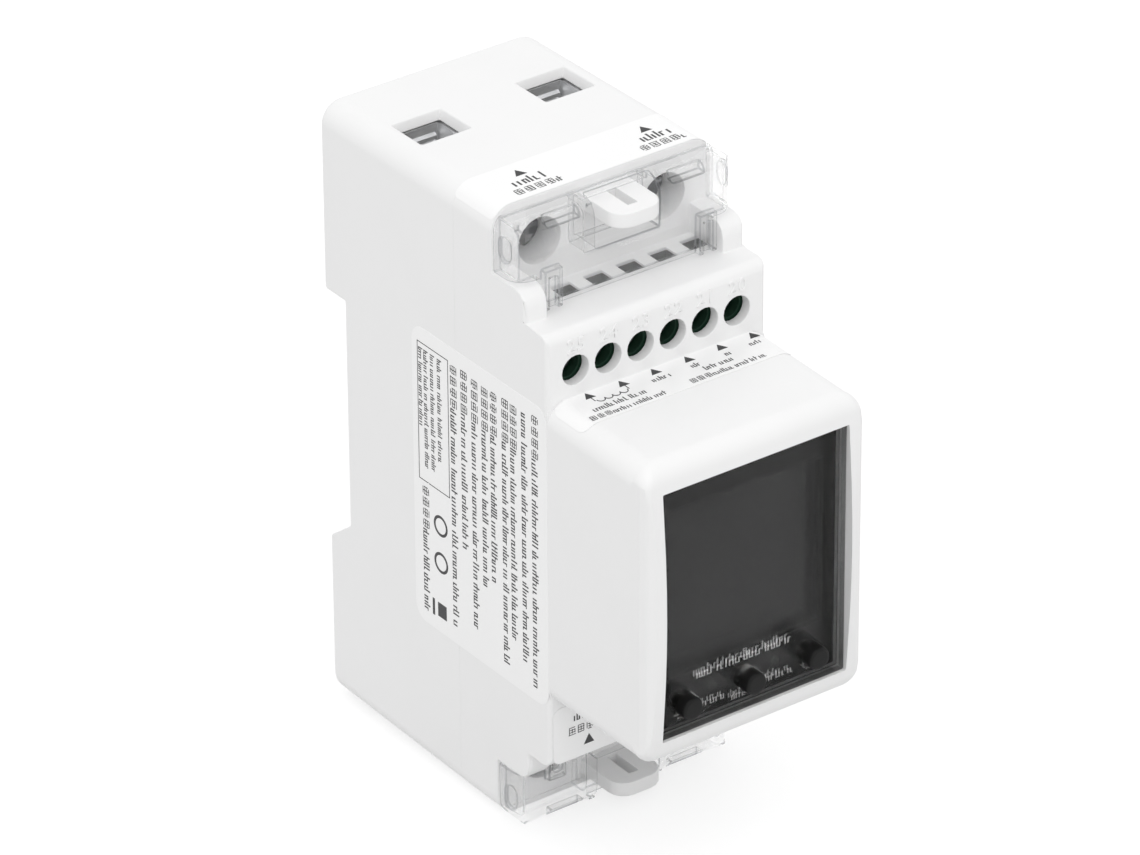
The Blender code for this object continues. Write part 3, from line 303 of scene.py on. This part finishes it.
def seam(point):
    """What stays sharp: the joint, the display end's corners at the step, its sides and the tabs' slots."""
    x, depth = abs(point.x) * 1000, SEAT_DEPTH - point.y * 1000
    off_middle = abs(point.z * 1000 + SEAT_HEIGHT - MIDDLE)
    joint = abs(depth - FRONT_RIM + CLOSED_BY) < 0.02
    nose_corner = x > 15.5 and abs(depth - 51.3) < 1.1 and 18 < off_middle < 24.5
    nose_side = abs(x - 15.3) < 0.05 and depth > 72.7
    in_slot = x < 1.1 and 40.8 < depth < 47 and off_middle > 41.8
    return joint or nose_corner or nose_side or in_slot


front_case = copied("front_housing", "front_case")
bpy.ops.object.mode_set(mode="EDIT")
rim = at(0, FRONT_RIM, 0).y
pick(front_case, "FACE", lambda face: all(abs(corner.co.y - rim) < 0.00001 for corner in face.verts))
bpy.ops.transform.translate(value=(0, CLOSED_BY / 1000, 0))
bpy.ops.object.mode_set(mode="OBJECT")
block = end_block(FRONT_BACK, STEP_FRONT)
bpy.ops.object.mode_set(mode="OBJECT")
combine(block, nose_block(), "UNION")
combine(front_case, block, "INTERSECT")
round_edges(front_case, HOUSING_EDGE, kept=seam)
front_case.data.materials.append(white)
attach(front_case, "case")
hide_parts("front_housing")

for pole, x in enumerate(POLES, 1):
    bpy.ops.object.select_all(action="DESELECT")
    bpy.ops.object.text_add(location=at(x, STEP_FRONT, NUMBER_HEIGHT), rotation=(math.pi / 2, 0, 0))
    number = bpy.context.object
    number.name = f"terminal_number_{pole}"
    number.data.body = str(26 - pole)
    number.data.align_x = "CENTER"
    number.data.align_y = "CENTER"
    number.data.size = 0.0029
    number.data.extrude = 0.00016
    number.data.bevel_depth = 0.00002
    number.data.space_character = 1.12
    bpy.ops.object.convert(target="MESH")
    settle(number)
    number.data.materials.append(white)
    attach(number, "case")

# Power clamps
# Four rising cages of zinc-plated steel strip, each with its slotted screw and with teeth that grip
# the wire, and two tinned copper bars that run from the upper clamps to the lower ones.
ENDS = {"top": 1, "bottom": -1}
SIDES = ("line", "neutral")
TOOTH = (6.2, 0.5, 0.9)                 # one ridge of the strip of teeth: across, deep and tall
TOOTH_PITCH = 1.18
CAGE_WALL, TOOTH_OUT = 1.4, 0.2         # the ridge's middle stands this far off the cage's back wall


def metal(name, colour, rough, brushed, scale=(1, 1, 12)):
    """A plated metal with fine drawn lines along one direction."""
    material, tree, shader = started(name)
    shader.inputs["Metallic"].default_value = 1
    drawn = tree.nodes.new("ShaderNodeMapping")
    drawn.inputs["Scale"].default_value = scale
    tree.links.new(tree.nodes.new("ShaderNodeTexCoord").outputs["Object"], drawn.inputs["Vector"])
    lines = noise(tree, drawn.outputs["Vector"], 900, 4)
    darker = [part * 0.8 for part in colour]
    tree.links.new(blend(tree, lines, darker, colour), shader.inputs["Base Color"])
    tree.links.new(spread(tree, lines, rough - 0.08, rough + 0.12), shader.inputs["Roughness"])
    tree.links.new(bumped(tree, lines, brushed), shader.inputs["Normal"])
    return material


zinc = metal("zinc plate", (0.97, 0.975, 0.985), 0.5, 0.000004)
screw_steel = metal("screw steel", (0.09, 0.092, 0.10), 0.42, 0.000004)
tin = metal("tinned copper", (0.66, 0.64, 0.60), 0.28, 0.000003, (1, 1, 0.1))
for end in ENDS:
    for side in SIDES:
        key = f"{end}_{side}"
        cage = softened(f"{key}_cage", f"{key}_loop", 0.18)
        cage.data.materials.append(zinc)
        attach(cage, f"{key}_clamp")
        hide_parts(f"{key}_cage")
        screw = softened(f"{key}_clamp_screw", f"{key}_pressure_screw", 0.1)
        screw.data.materials.append(screw_steel)
        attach(screw, f"{key}_screw")
        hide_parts(f"{key}_clamp_screw")
        # The teeth are rolled as one strip of seven ridges across the cage's back wall
        teeth = brick((0, 0, 0), *TOOTH)
        teeth.name = f"{key}_teeth"
        settle(teeth)
        bpy.ops.object.mode_set(mode="EDIT")
        pick(teeth, "FACE", lambda face: face.normal.y < -0.9)
        bpy.ops.transform.resize(value=(1, 1, 0.2))
        bpy.ops.mesh.select_all(action="SELECT")
        for _ in range(6):
            bpy.ops.mesh.duplicate()
            bpy.ops.transform.translate(value=(0, 0, TOOTH_PITCH / 1000))
        bpy.ops.object.mode_set(mode="OBJECT")
        low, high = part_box(f"{key}_cage")
        teeth.location = ((low[0] + high[0]) / 2, high[1] - (CAGE_WALL + TOOTH_OUT) / 1000,
                          (low[2] + high[2]) / 2 - 3 * TOOTH_PITCH / 1000)
        settle(teeth)
        teeth.data.materials.append(zinc)
        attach(teeth, f"{key}_clamp")
for side in SIDES:
    bar = softened(f"{side}_busbar", f"{side}_bar", 0.15)
    bar.data.materials.append(tin)
    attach(bar, "case")
    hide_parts(f"{side}_busbar")

# Boards and their parts
# The main board behind the signal terminals and the display board behind the pane, in green glass
# fibre, with the transformer ring, two capacitors, three tactile switches and two lamps.
board_green = moulded("solder mask", (0.018, 0.13, 0.05), 0.3, grain=0.0009, relief=0.00003, uneven=0.3)
black = moulded("black plastic", (0.022, 0.022, 0.023), 0.42)
yellow = moulded("film box", (0.62, 0.40, 0.05), 0.35)
sleeve = moulded("can sleeve", (0.02, 0.03, 0.07), 0.3)
light_guide = moulded("light guide", (0.80, 0.80, 0.78), 0.3)
red = moulded("lamp", (0.35, 0.03, 0.03), 0.2)
for node, finish in {
    "display_board": board_green, "main_board": board_green, "current_transformer": black,
    "board_connector": black, "switch_minus": black, "switch_menu": black, "switch_plus": black,
    "film_capacitor": yellow, "electrolytic_capacitor": sleeve, "lcd_backlight": light_guide,
    "indicator_power": red, "indicator_link": red,
}.items():
    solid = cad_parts[node]
    solid.data.materials.clear()
    solid.data.materials.append(finish)

# Signal terminals
# The green six-way block behind the row of holes, with a small slotted screw in each bore, and under each
# entry in the ledge a black block that is painted shade for the dark depth of the wire entry.
SHADE_BLOCK_DEPTH, SHADE_BLOCK_HEIGHT = 42.5, 79.05
SHADE_BLOCK = (2.9, 2.7, 1.7)
# The block's own green, darkened further as painted shade for the deep bores it is seen through.
terminal_green_and_bore_shade = moulded("terminal green with bore shade", (0.010, 0.040, 0.022), 0.45)
block = softened("signal_terminal_block", "signal_block", 0.1)
block.data.materials.append(terminal_green_and_bore_shade)
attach(block, "case")
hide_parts("signal_terminal_block")
# Painted shade: black blocks set just under the wire entries make them read dark, as their depth would.
painted_shade_black = moulded("painted entry shade black", (0.02, 0.02, 0.02), 0.5)
for pole, x in enumerate(POLES, 1):
    shade_block = brick(at(x, SHADE_BLOCK_DEPTH, SHADE_BLOCK_HEIGHT), *SHADE_BLOCK)
    shade_block.name = f"entry_shade_block_{pole}"
    settle(shade_block)
    bpy.ops.object.mode_set(mode="EDIT")
    pick(shade_block, "FACE", lambda face: face.normal.z > 0.9)
    bpy.ops.mesh.inset(thickness=0.0003)
    bpy.ops.transform.translate(value=(0, 0, -0.0008))
    bpy.ops.object.mode_set(mode="OBJECT")
    shade_block.data.materials.append(painted_shade_black)
    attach(shade_block, "case")
# Painted shade: the wire screws' steel is darkened to carry the shade down in their bores.
screw_steel_with_bore_shade = metal("screw steel darkened for bore shade", (0.16, 0.16, 0.165), 0.45, 0.000003)
for pole in range(1, len(POLES) + 1):
    screw = softened(f"signal_screw_{pole}", f"wire_screw_{pole}", 0.08)
    screw.data.materials.append(screw_steel_with_bore_shade)
    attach(screw, f"signal_screw_{pole}")
    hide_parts(f"signal_screw_{pole}")

# Display
# A clear hard-coated pane whose back is screen printed black round an opening, the dark display
# glass behind that opening, and three black push-buttons that come through the pane.
PANE_BACK, FIELD_DEPTH, FRAME_DEPTH = 70.2, 68.5, 69.95
SCREEN = (25.7, 25.1)                   # the opening in the black, across and up
SCREEN_HEIGHT = 48.15                   # its middle
KEYS = {"minus": -10.5, "menu": 0, "plus": 10.5}
LAMPS = {"power": -5.25, "link": 5.25}
KEY_HEIGHT, LAMP_HEIGHT = 31.7, 32.1
FRONT = (Vector((1, 0, 0)), Vector((0, 0, 1)))


def clear(name, colour, painted_reflection_tone, ior, straight):
    """A clear moulded plastic with faint flow marks, and a painted reflection: darker where it is seen
    edge-on.
    """
    material, tree, shader = started(name)
    shader.inputs["Transmission Weight"].default_value = 1
    shader.inputs["IOR"].default_value = ior
    shader.inputs["Alpha"].default_value = 1 - straight
    shader.inputs["Roughness"].default_value = 0.0
    where = tree.nodes.new("ShaderNodeTexCoord").outputs["Object"]
    flow = blend(tree, noise(tree, where, 220, 6), colour, [part * 0.985 for part in colour])
    # Painted reflection: where the surface is seen edge-on, the colour is drawn towards a darker tone that
    # stands in for reflected dark surroundings.
    slant = tree.nodes.new("ShaderNodeLayerWeight")
    slant.inputs["Blend"].default_value = 0.5
    edge_on = spread(tree, slant.outputs["Facing"], 0.0, 1.0, start=0.82)
    tree.links.new(blend(tree, edge_on, flow, painted_reflection_tone), shader.inputs["Base Color"])
    return material


def ink(name, shade):
    """Screen ink behind the pane: flat, with no gloss of its own."""
    return moulded(name, (shade, shade, shade), 0.6, uneven=0.12, specular=0.0)


def sheet(name, wide, tall, thickness, corner=0.0):
    """A thin flat sheet, drawn flat round the origin with its corners rounded, in millimetres."""
    bpy.ops.object.select_all(action="DESELECT")
    bpy.ops.mesh.primitive_plane_add(size=1)
    piece = bpy.context.object
    piece.name = name
    piece.scale = (wide / 1000, tall / 1000, 1)
    settle(piece)
    bpy.ops.object.mode_set(mode="EDIT")
    bpy.ops.mesh.select_all(action="SELECT")
    if corner:
        bpy.ops.mesh.bevel(affect="VERTICES", offset=corner / 1000, segments=6)
        bpy.ops.mesh.select_all(action="SELECT")
    bpy.ops.mesh.extrude_region_move(TRANSFORM_OT_translate={"value": (0, 0, -thickness / 1000)})
    bpy.ops.mesh.select_all(action="SELECT")
    bpy.ops.mesh.normals_make_consistent(inside=False)
    bpy.ops.object.mode_set(mode="OBJECT")
    return piece


def lay(piece, place, right_and_up):
    """Turn a piece that was drawn flat on to a face of the case."""
    right, up = right_and_up
    turned = Matrix((right, up, right.cross(up))).transposed().to_4x4()
    turned.translation = place
    piece.matrix_world = turned
    settle(piece)


def opening(piece, centre, wide, tall):
    """Cut a straight opening through a front-facing sheet."""
    combine(piece, brick(centre, wide, 10, tall), "DIFFERENCE")


def bore(piece, centre, radius):
    """Cut a round hole through a front-facing sheet."""
    bpy.ops.object.select_all(action="DESELECT")
    bpy.ops.mesh.primitive_cylinder_add(vertices=40, radius=radius / 1000, depth=0.01, location=centre,
                                        rotation=(math.pi / 2, 0, 0))
    combine(piece, bpy.context.object, "DIFFERENCE")


pane = softened("display_window", "pane", 0.08)
# The pane's edges seen side-on are painted half grey, a painted reflection.
pane.data.materials.append(clear("coated pane", (0.97, 0.97, 0.97), (0.5, 0.5, 0.5), 1.25, 0.4))
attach(pane, "case")
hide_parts("display_window")

mask = sheet("pane_mask", 31.2, 38.6, 0.2)
lay(mask, at(0, PANE_BACK, 46.95), FRONT)
opening(mask, at(0, PANE_BACK, SCREEN_HEIGHT), *SCREEN)
for x in KEYS.values():
    bore(mask, at(x, PANE_BACK, KEY_HEIGHT), 1.75)
for x in LAMPS.values():
    bore(mask, at(x, PANE_BACK, LAMP_HEIGHT), 0.75)
mask.data.materials.append(ink("black ink", 0.008))
rim = sheet("screen_rim", 25.9, 25.3, 0.15)
lay(rim, at(0, PANE_BACK + 0.02, SCREEN_HEIGHT), FRONT)
opening(rim, at(0, PANE_BACK, SCREEN_HEIGHT), *SCREEN)
rim.data.materials.append(ink("rim ink", 0.07))
field = sheet("screen_field", 22.7, 22.7, 0.05, 0.3)
lay(field, at(0, FIELD_DEPTH, SCREEN_HEIGHT), FRONT)
field.data.materials.append(ink("screen field", 0.026))
screen_frame = sheet("screen_frame", 28.2, 27.6, 1.75)
lay(screen_frame, at(0, FRAME_DEPTH, SCREEN_HEIGHT), FRONT)
opening(screen_frame, at(0, FRAME_DEPTH - 0.95, SCREEN_HEIGHT), 25.8, 25.2)
screen_frame.data.materials.append(ink("screen frame", 0.012))
for piece in (mask, rim, field, screen_frame):
    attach(piece, "case")
lamp_lens = ink("lamp lens", 0.035)
for name, x in LAMPS.items():
    lens = sheet(f"{name}_lens", 1.5, 1.5, 0.1, 0.74)
    lay(lens, at(x, PANE_BACK - 0.05, LAMP_HEIGHT), FRONT)
    lens.data.materials.append(lamp_lens)
    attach(lens, "case")

cell = copied("lcd_glass", "screen_cell")
bpy.ops.object.mode_set(mode="EDIT")
pick(cell, "FACE", lambda face: face.normal.y < -0.9)
bpy.ops.transform.translate(value=(0, 0.0016, 0))
bpy.ops.object.mode_set(mode="OBJECT")
cell.data.materials.append(ink("screen cell", 0.004))
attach(cell, "case")
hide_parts("lcd_glass")

key_black = moulded("key plastic", (0.008, 0.008, 0.008), 0.5, specular=0.2)
for name in KEYS:
    button = softened(f"button_{name}", f"{name}_key", 0.18)
    button.data.materials.append(key_black)
    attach(button, f"{name}_button")
    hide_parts(f"button_{name}")

# Terminal covers
# One clear cover snaps over the clamp screws at each end. It is moulded in clear plastic with ears,
# a pocket round the sealing tab, sight slots and grooved latch legs; the light bends in it, and its rounded
# edges carry painted shade, a darker grey that stands in for the dark refraction lines.
COVER_HALF = 18.01                      # half the width
COVER_BACK, COVER_FRONT = 38.99, 45.21
COVER_FOOT, COVER_TIP = 32.9, 46.81     # from the middle of the case out to its end
COVER_ROUND = 2.9
LEGS = (28.6, 6.4, 7.5)                 # a block round both latch legs, which stand further forward
LEGS_DEPTH, LEGS_OUT = 43.2, 36.6
crystal = clear("clear cover", (0.99, 0.99, 0.992), (0.02, 0.02, 0.022), 1.45, 0.88)
# Painted shade: a dark grey clear for the cover's rounded edges, standing in for the dark lines that
# refraction draws there.
crystal_painted_edge = clear("clear cover painted edge", (0.30, 0.31, 0.33), (0.02, 0.02, 0.025), 1.45, 0.36)


def outer(line, up):
    """Whether two of the block's sides, its front and its tip meet in this edge."""
    front, tip = at(0, COVER_FRONT, 0).y, at(0, 0, MIDDLE + up * COVER_TIP).z
    ends = [end.co for end in line.verts]
    return sum((all(abs(abs(end.x) - COVER_HALF / 1000) < 0.00002 for end in ends),
                all(abs(end.y - front) < 0.00002 for end in ends),
                all(abs(end.z - tip) < 0.00002 for end in ends))) == 2


for end, up in ENDS.items():
    cover = copied(f"{end}_terminal_cover", f"{end}_cover_shell")
    block = brick(at(0, (COVER_BACK + COVER_FRONT) / 2, MIDDLE + up * (COVER_FOOT + COVER_TIP) / 2),
                  2 * COVER_HALF, COVER_FRONT - COVER_BACK, COVER_TIP - COVER_FOOT)
    settle(block)
    bpy.ops.object.mode_set(mode="EDIT")
    pick(block, "EDGE", lambda line: outer(line, up))
    bpy.ops.mesh.bevel(offset=COVER_ROUND / 1000, segments=7, affect="EDGES", clamp_overlap=False)
    bpy.ops.object.mode_set(mode="OBJECT")
    combine(block, brick(at(0, LEGS_DEPTH, MIDDLE + up * LEGS_OUT), *LEGS), "UNION")
    combine(cover, block, "INTERSECT")
    cover.data.materials.append(crystal)
    cover.data.materials.append(crystal_painted_edge)
    # The bevels get the second finish, the painted dark edge lines.
    round_edges(cover, 0.2, limit=52, finish=1)
    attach(cover, f"{end}_cover")
    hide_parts(f"{end}_terminal_cover")

# Labels
# White self-adhesive film with black print, rounded at the corners: one on the side of the case, one
# along the top edge, one on top of the display end and one on the lower step. The print is fields of
# short strokes.
FILM = 0.05                             # thickness
SIDE_FACE, TOP_FACE, LOW_STEP_FACE = -18.035, 94.015, 51.76
NOSE_START, NOSE_TOP, NOSE_SLOPE = 51.7, 70.24, 0.0187      # top of the display end, falling to the front
FOLD = 14.7                             # from a label's middle to where it folds over a rounded edge
HAIRLINE = 0.12
LEFT = (Vector((0, 0, -1)), Vector((0, -1, 0)))
TOP = (Vector((1, 0, 0)), Vector((0, 1, 0)))
NOSE = (Vector((1, 0, 0)), Vector((0, 0.99983, NOSE_SLOPE)))
film = moulded("label film", (0.935, 0.935, 0.935), 0.33, grain=0.0006, relief=0.000002, uneven=0.01)
black_ink = moulded("print ink", (0.028, 0.028, 0.030), 0.45, relief=0.0, uneven=0.2)
chance = random.Random(7)


def folded(piece, flat, radius):
    """Fold a flat sheet down over the two rounded edges beyond its flat middle, in millimetres."""
    only(piece)
    bpy.ops.object.mode_set(mode="EDIT")
    for step in range(9):
        for side in (-1, 1):
            bpy.ops.mesh.select_all(action="SELECT")
            bpy.ops.mesh.bisect(plane_co=(side * (flat + 0.33 * step) / 1000, 0, 0), plane_no=(1, 0, 0))
    bpy.ops.object.mode_set(mode="OBJECT")
    for corner in piece.data.vertices:
        x, out = corner.co.x * 1000, corner.co.z * 1000 + radius
        over = abs(x) - flat
        if over > 0:
            angle = over / radius
            corner.co.x = math.copysign(flat + out * math.sin(angle), x) / 1000
            corner.co.z = (out * math.cos(angle) - radius) / 1000


def stroke(u, v, wide, tall):
    """One straight stroke of ink, in millimetres on the label."""
    bpy.ops.mesh.primitive_cube_add(size=1, location=(u / 1000, v / 1000, 0.00001),
                                    scale=(wide / 1000, tall / 1000, 0.00002))


def row(start, level, length, height, blocks=0):
    """A row of print: dense blocks first, then groups of upright strokes with short dashes."""
    u = start
    for _ in range(blocks):
        for share in (0.06, 0.34, 0.62, 0.9):
            stroke(u + 0.42 * height, level + share * 0.88 * height,
                   height * chance.uniform(0.4, 0.8), 0.07 * height)
        for share in (0.12, 0.5, 0.86):
            stroke(u + share * 0.84 * height, level + 0.42 * height,
                   0.075 * height, height * chance.uniform(0.4, 0.84))
        u += 0.98 * height
    while u < start + length:
        for _ in range(chance.choice((3, 5, 6, 8, 9))):
            tall = chance.choice((0.5, 0.5, 0.5, 0.76)) * height
            stroke(u, level + tall / 2, 0.13 * height, tall)
            if chance.random() < 0.55:
                stroke(u + 0.13 * height, level + chance.choice((0.04, 0.46)) * height,
                       0.2 * height, 0.08 * height)
            u += chance.choice((0.24, 0.28, 0.34)) * height
            if u > start + length:
                break
        u += 0.3 * height


def arrow(u, v, size):
    """A solid three-sided mark that points up."""
    bpy.ops.mesh.primitive_cylinder_add(vertices=3, radius=size / 1000, depth=0.00002,
                                        location=(u / 1000, v / 1000, 0.00001))


def start_print(name):
    """An empty piece, open in edit mode, for strokes to be added to."""
    bpy.ops.object.select_all(action="DESELECT")
    piece = bpy.data.objects.new(name, bpy.data.meshes.new(name))
    bpy.context.scene.collection.objects.link(piece)
    only(piece)
    bpy.ops.object.mode_set(mode="EDIT")
    return piece


def end_print(piece, place, face, finish):
    """Lay the finished print on its face."""
    bpy.ops.object.mode_set(mode="OBJECT")
    lay(piece, place, face)
    piece.data.materials.append(finish)
    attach(piece, "case")


side_label = sheet("side_label", 45.9, 30.6, FILM, 2.4)
lay(side_label, at(SIDE_FACE, 36.3, 46.25), LEFT)
top_label = sheet("top_label", 36.6, 8.8, FILM, 0.9)
folded(top_label, FOLD, CASE_ROUND)
lay(top_label, at(0, 35.1, TOP_FACE), TOP)
nose_label = sheet("nose_label", 35.4, 7.0, FILM, 1.3)
folded(nose_label, FOLD, NOSE_ROUND)
lay(nose_label, at(0, NOSE_START + 3.65, NOSE_TOP - 3.65 * NOSE_SLOPE), NOSE)
lower_label = sheet("lower_label", 34.8, 8.7, FILM, 1.2)
lay(lower_label, at(0, LOW_STEP_FACE, 18.55), FRONT)
for label in (side_label, top_label, nose_label, lower_label):
    label.data.materials.append(film)
    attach(label, "case")

side_print = start_print("side_print")
for level, start, end, blocks in (
        (49.0, 67.5, 25.4, 4), (46.7, 66.6, 28.3, 0), (44.2, 66.9, 30.5, 4), (42.3, 67.0, 25.9, 4),
        (39.7, 66.8, 37.2, 4), (37.7, 66.6, 35.3, 4), (35.4, 66.7, 28.2, 4), (33.0, 67.0, 39.2, 4),
        (30.6, 66.7, 25.8, 4), (23.8, 44.9, 25.4, 4)):
    row(-start, level - 0.8, start - end, 1.75, blocks)
for level, end in ((27.2, 50.2), (25.6, 48.0), (24.1, 47.8), (22.9, 54.0)):
    row(-66.0, level - 0.4, 66.0 - end, 1.3)
for level in (29.3, 22.3):
    stroke(-56.3, level, 21.2, HAIRLINE)
for u in (-66.9, -45.7):
    stroke(u, 25.8, HAIRLINE, 7.1)
for u in (-40.2, -34.4):
    bpy.ops.mesh.primitive_torus_add(major_segments=28, minor_segments=4, major_radius=0.0014,
                                     minor_radius=0.00022, location=(u / 1000, 0.0271, 0))
    bpy.ops.transform.resize(value=(1, 1, 0.1))
stroke(-26.8, 27.2, 2.2, 2.0)
stroke(-26.7, 25.2, 2.6, 0.5)
end_print(side_print, at(SIDE_FACE, 0, 0), LEFT, black_ink)

top_print = start_print("top_print")
for x, (near, near_length), (far, far_length) in (
        (-9.0, (-11.4, 5.3), (-12.7, 7.2)), (11.5, (9.5, 4.5), (7.8, 7.0))):
    arrow(x, -33.5, 1.05)
    row(near, -36.3, near_length, 2.3)
    row(far, -38.4, far_length, 1.7, 4)
end_print(top_print, at(0, 0, TOP_FACE), TOP, black_ink)

nose_print = start_print("nose_print")
for x in (-12.1, -6.6, -1.3, 4.2, 9.6, 15.0):
    arrow(x, -1.25, 0.95)
for x in (-12.1, -6.6):
    stroke(x, -2.2, 0.14, 1.0)
for turn in range(4):
    u = -11.2 + turn * 1.24
    bpy.ops.mesh.primitive_torus_add(major_segments=20, minor_segments=4, major_radius=0.00062,
                                     minor_radius=0.00008, location=(u / 1000, -0.0026, 0))
    bpy.ops.mesh.bisect(plane_co=(0, -0.0026, 0), plane_no=(0, 1, 0), clear_outer=True, use_fill=True)
for start, level, length, height, blocks in (
        (-13.7, 4.9, 8.4, 1.35, 0), (-15.4, 6.6, 12.0, 1.25, 3), (-2.9, 3.3, 3.0, 1.3, 0),
        (3.5, 3.3, 1.1, 1.3, 0), (4.6, 4.8, 4.6, 1.35, 0), (9.0, 3.4, 1.1, 1.3, 0),
        (1.0, 6.5, 12.0, 1.25, 3), (13.2, 3.2, 1.6, 1.2, 0)):
    row(start, -level, length, height, blocks)
end_print(nose_print, at(0, NOSE_START, NOSE_TOP), NOSE, black_ink)

lower_print = start_print("lower_print")
for x in (-11.5, 11.5):
    arrow(x, 16.3, 1.0)
    row(x - 3.4, 18.0, 6.6, 1.5, 4)
    row(x - 2.4, 20.1, 4.6, 1.6)
end_print(lower_print, at(0, LOW_STEP_FACE, 0), FRONT, black_ink)

pane_print = start_print("pane_print")
for start, level, length, height in (
        (-7.8, 34.1, 4.3, 1.7), (-3.0, 34.1, 2.3, 1.7), (0.0, 34.1, 2.9, 1.7), (3.6, 34.1, 4.1, 1.7),
        (-7.4, 29.4, 4.2, 1.5), (-2.0, 28.6, 3.6, 1.5), (2.8, 29.3, 5.0, 1.5)):
    row(start, level, length, height)
stroke(-10.6, 29.1, 0.9, 0.2)
stroke(10.5, 29.2, 0.9, 0.2)
stroke(10.5, 29.2, 0.2, 0.9)
stroke(0, 33.1, 1.2, 0.2)
end_print(pane_print, at(0, PANE_BACK + 0.02, 0), FRONT, ink("pane print ink", 0.75))

# Studio
# A pale floor that only takes the shadow, white all round, one soft lamp high in front on the left
# and a camera with a long lens.
bpy.ops.object.select_all(action="DESELECT")
bpy.ops.mesh.primitive_plane_add(size=6, location=at(0, SEAT_DEPTH, 0))
floor = bpy.context.object
floor.name = "studio_floor"


def looked_at(tree):
    """One where a ray comes from the camera, a reflection or a clear piece, and nought for soft light."""
    path = tree.nodes.new("ShaderNodeLightPath")
    seen = path.outputs["Is Camera Ray"]
    for kind in ("Is Transmission Ray", "Is Glossy Ray"):
        either = tree.nodes.new("ShaderNodeMath")
        either.operation = "MAXIMUM"
        tree.links.new(seen, either.inputs[0])
        tree.links.new(path.outputs[kind], either.inputs[1])
        seen = either.outputs["Value"]
    return seen


ground, tree, paint = started("pale floor")
paint.inputs["Roughness"].default_value = 0.9
paint.inputs["Specular IOR Level"].default_value = 0.0
paint.inputs["Emission Color"].default_value = (1, 1, 1, 1)
seen = looked_at(tree)
tree.links.new(spread(tree, seen, 0.0, 0.72), paint.inputs["Emission Strength"])
tree.links.new(spread(tree, seen, 0.68, 0.34), paint.inputs["Base Color"])
floor.data.materials.append(ground)

world = bpy.data.worlds.new("studio")
bpy.context.scene.world = world
world.use_nodes = True
tree = world.node_tree
backdrop = tree.nodes["Background"]
backdrop.inputs["Color"].default_value = (1, 1, 1, 1)
tree.links.new(spread(tree, looked_at(tree), 0.93, 1.0), backdrop.inputs["Strength"])

softbox = bpy.data.lights.new("key_softbox", "AREA")
softbox.shape = "SQUARE"
softbox.size = 0.6
softbox.energy = 1.45
lamp = bpy.data.objects.new("key_softbox", softbox)
lamp.location = (-0.30, -0.45, 0.72)
lamp.rotation_euler = (-lamp.location).to_track_quat("-Z", "Y").to_euler()
bpy.context.scene.collection.objects.link(lamp)

eye = bpy.data.cameras.new("camera")
eye.lens = 241.1
eye.sensor_width = 36
eye.shift_y = -0.0009
camera = bpy.data.objects.new("camera", eye)
camera.location = (-0.524676, -0.746750, 0.519746)
camera.rotation_euler = [math.radians(turn) for turn in (59.9473, 0.3114, -36.2632)]
bpy.context.scene.collection.objects.link(camera)
bpy.context.scene.camera = camera
bpy.context.scene.view_settings.view_transform = "Standard"
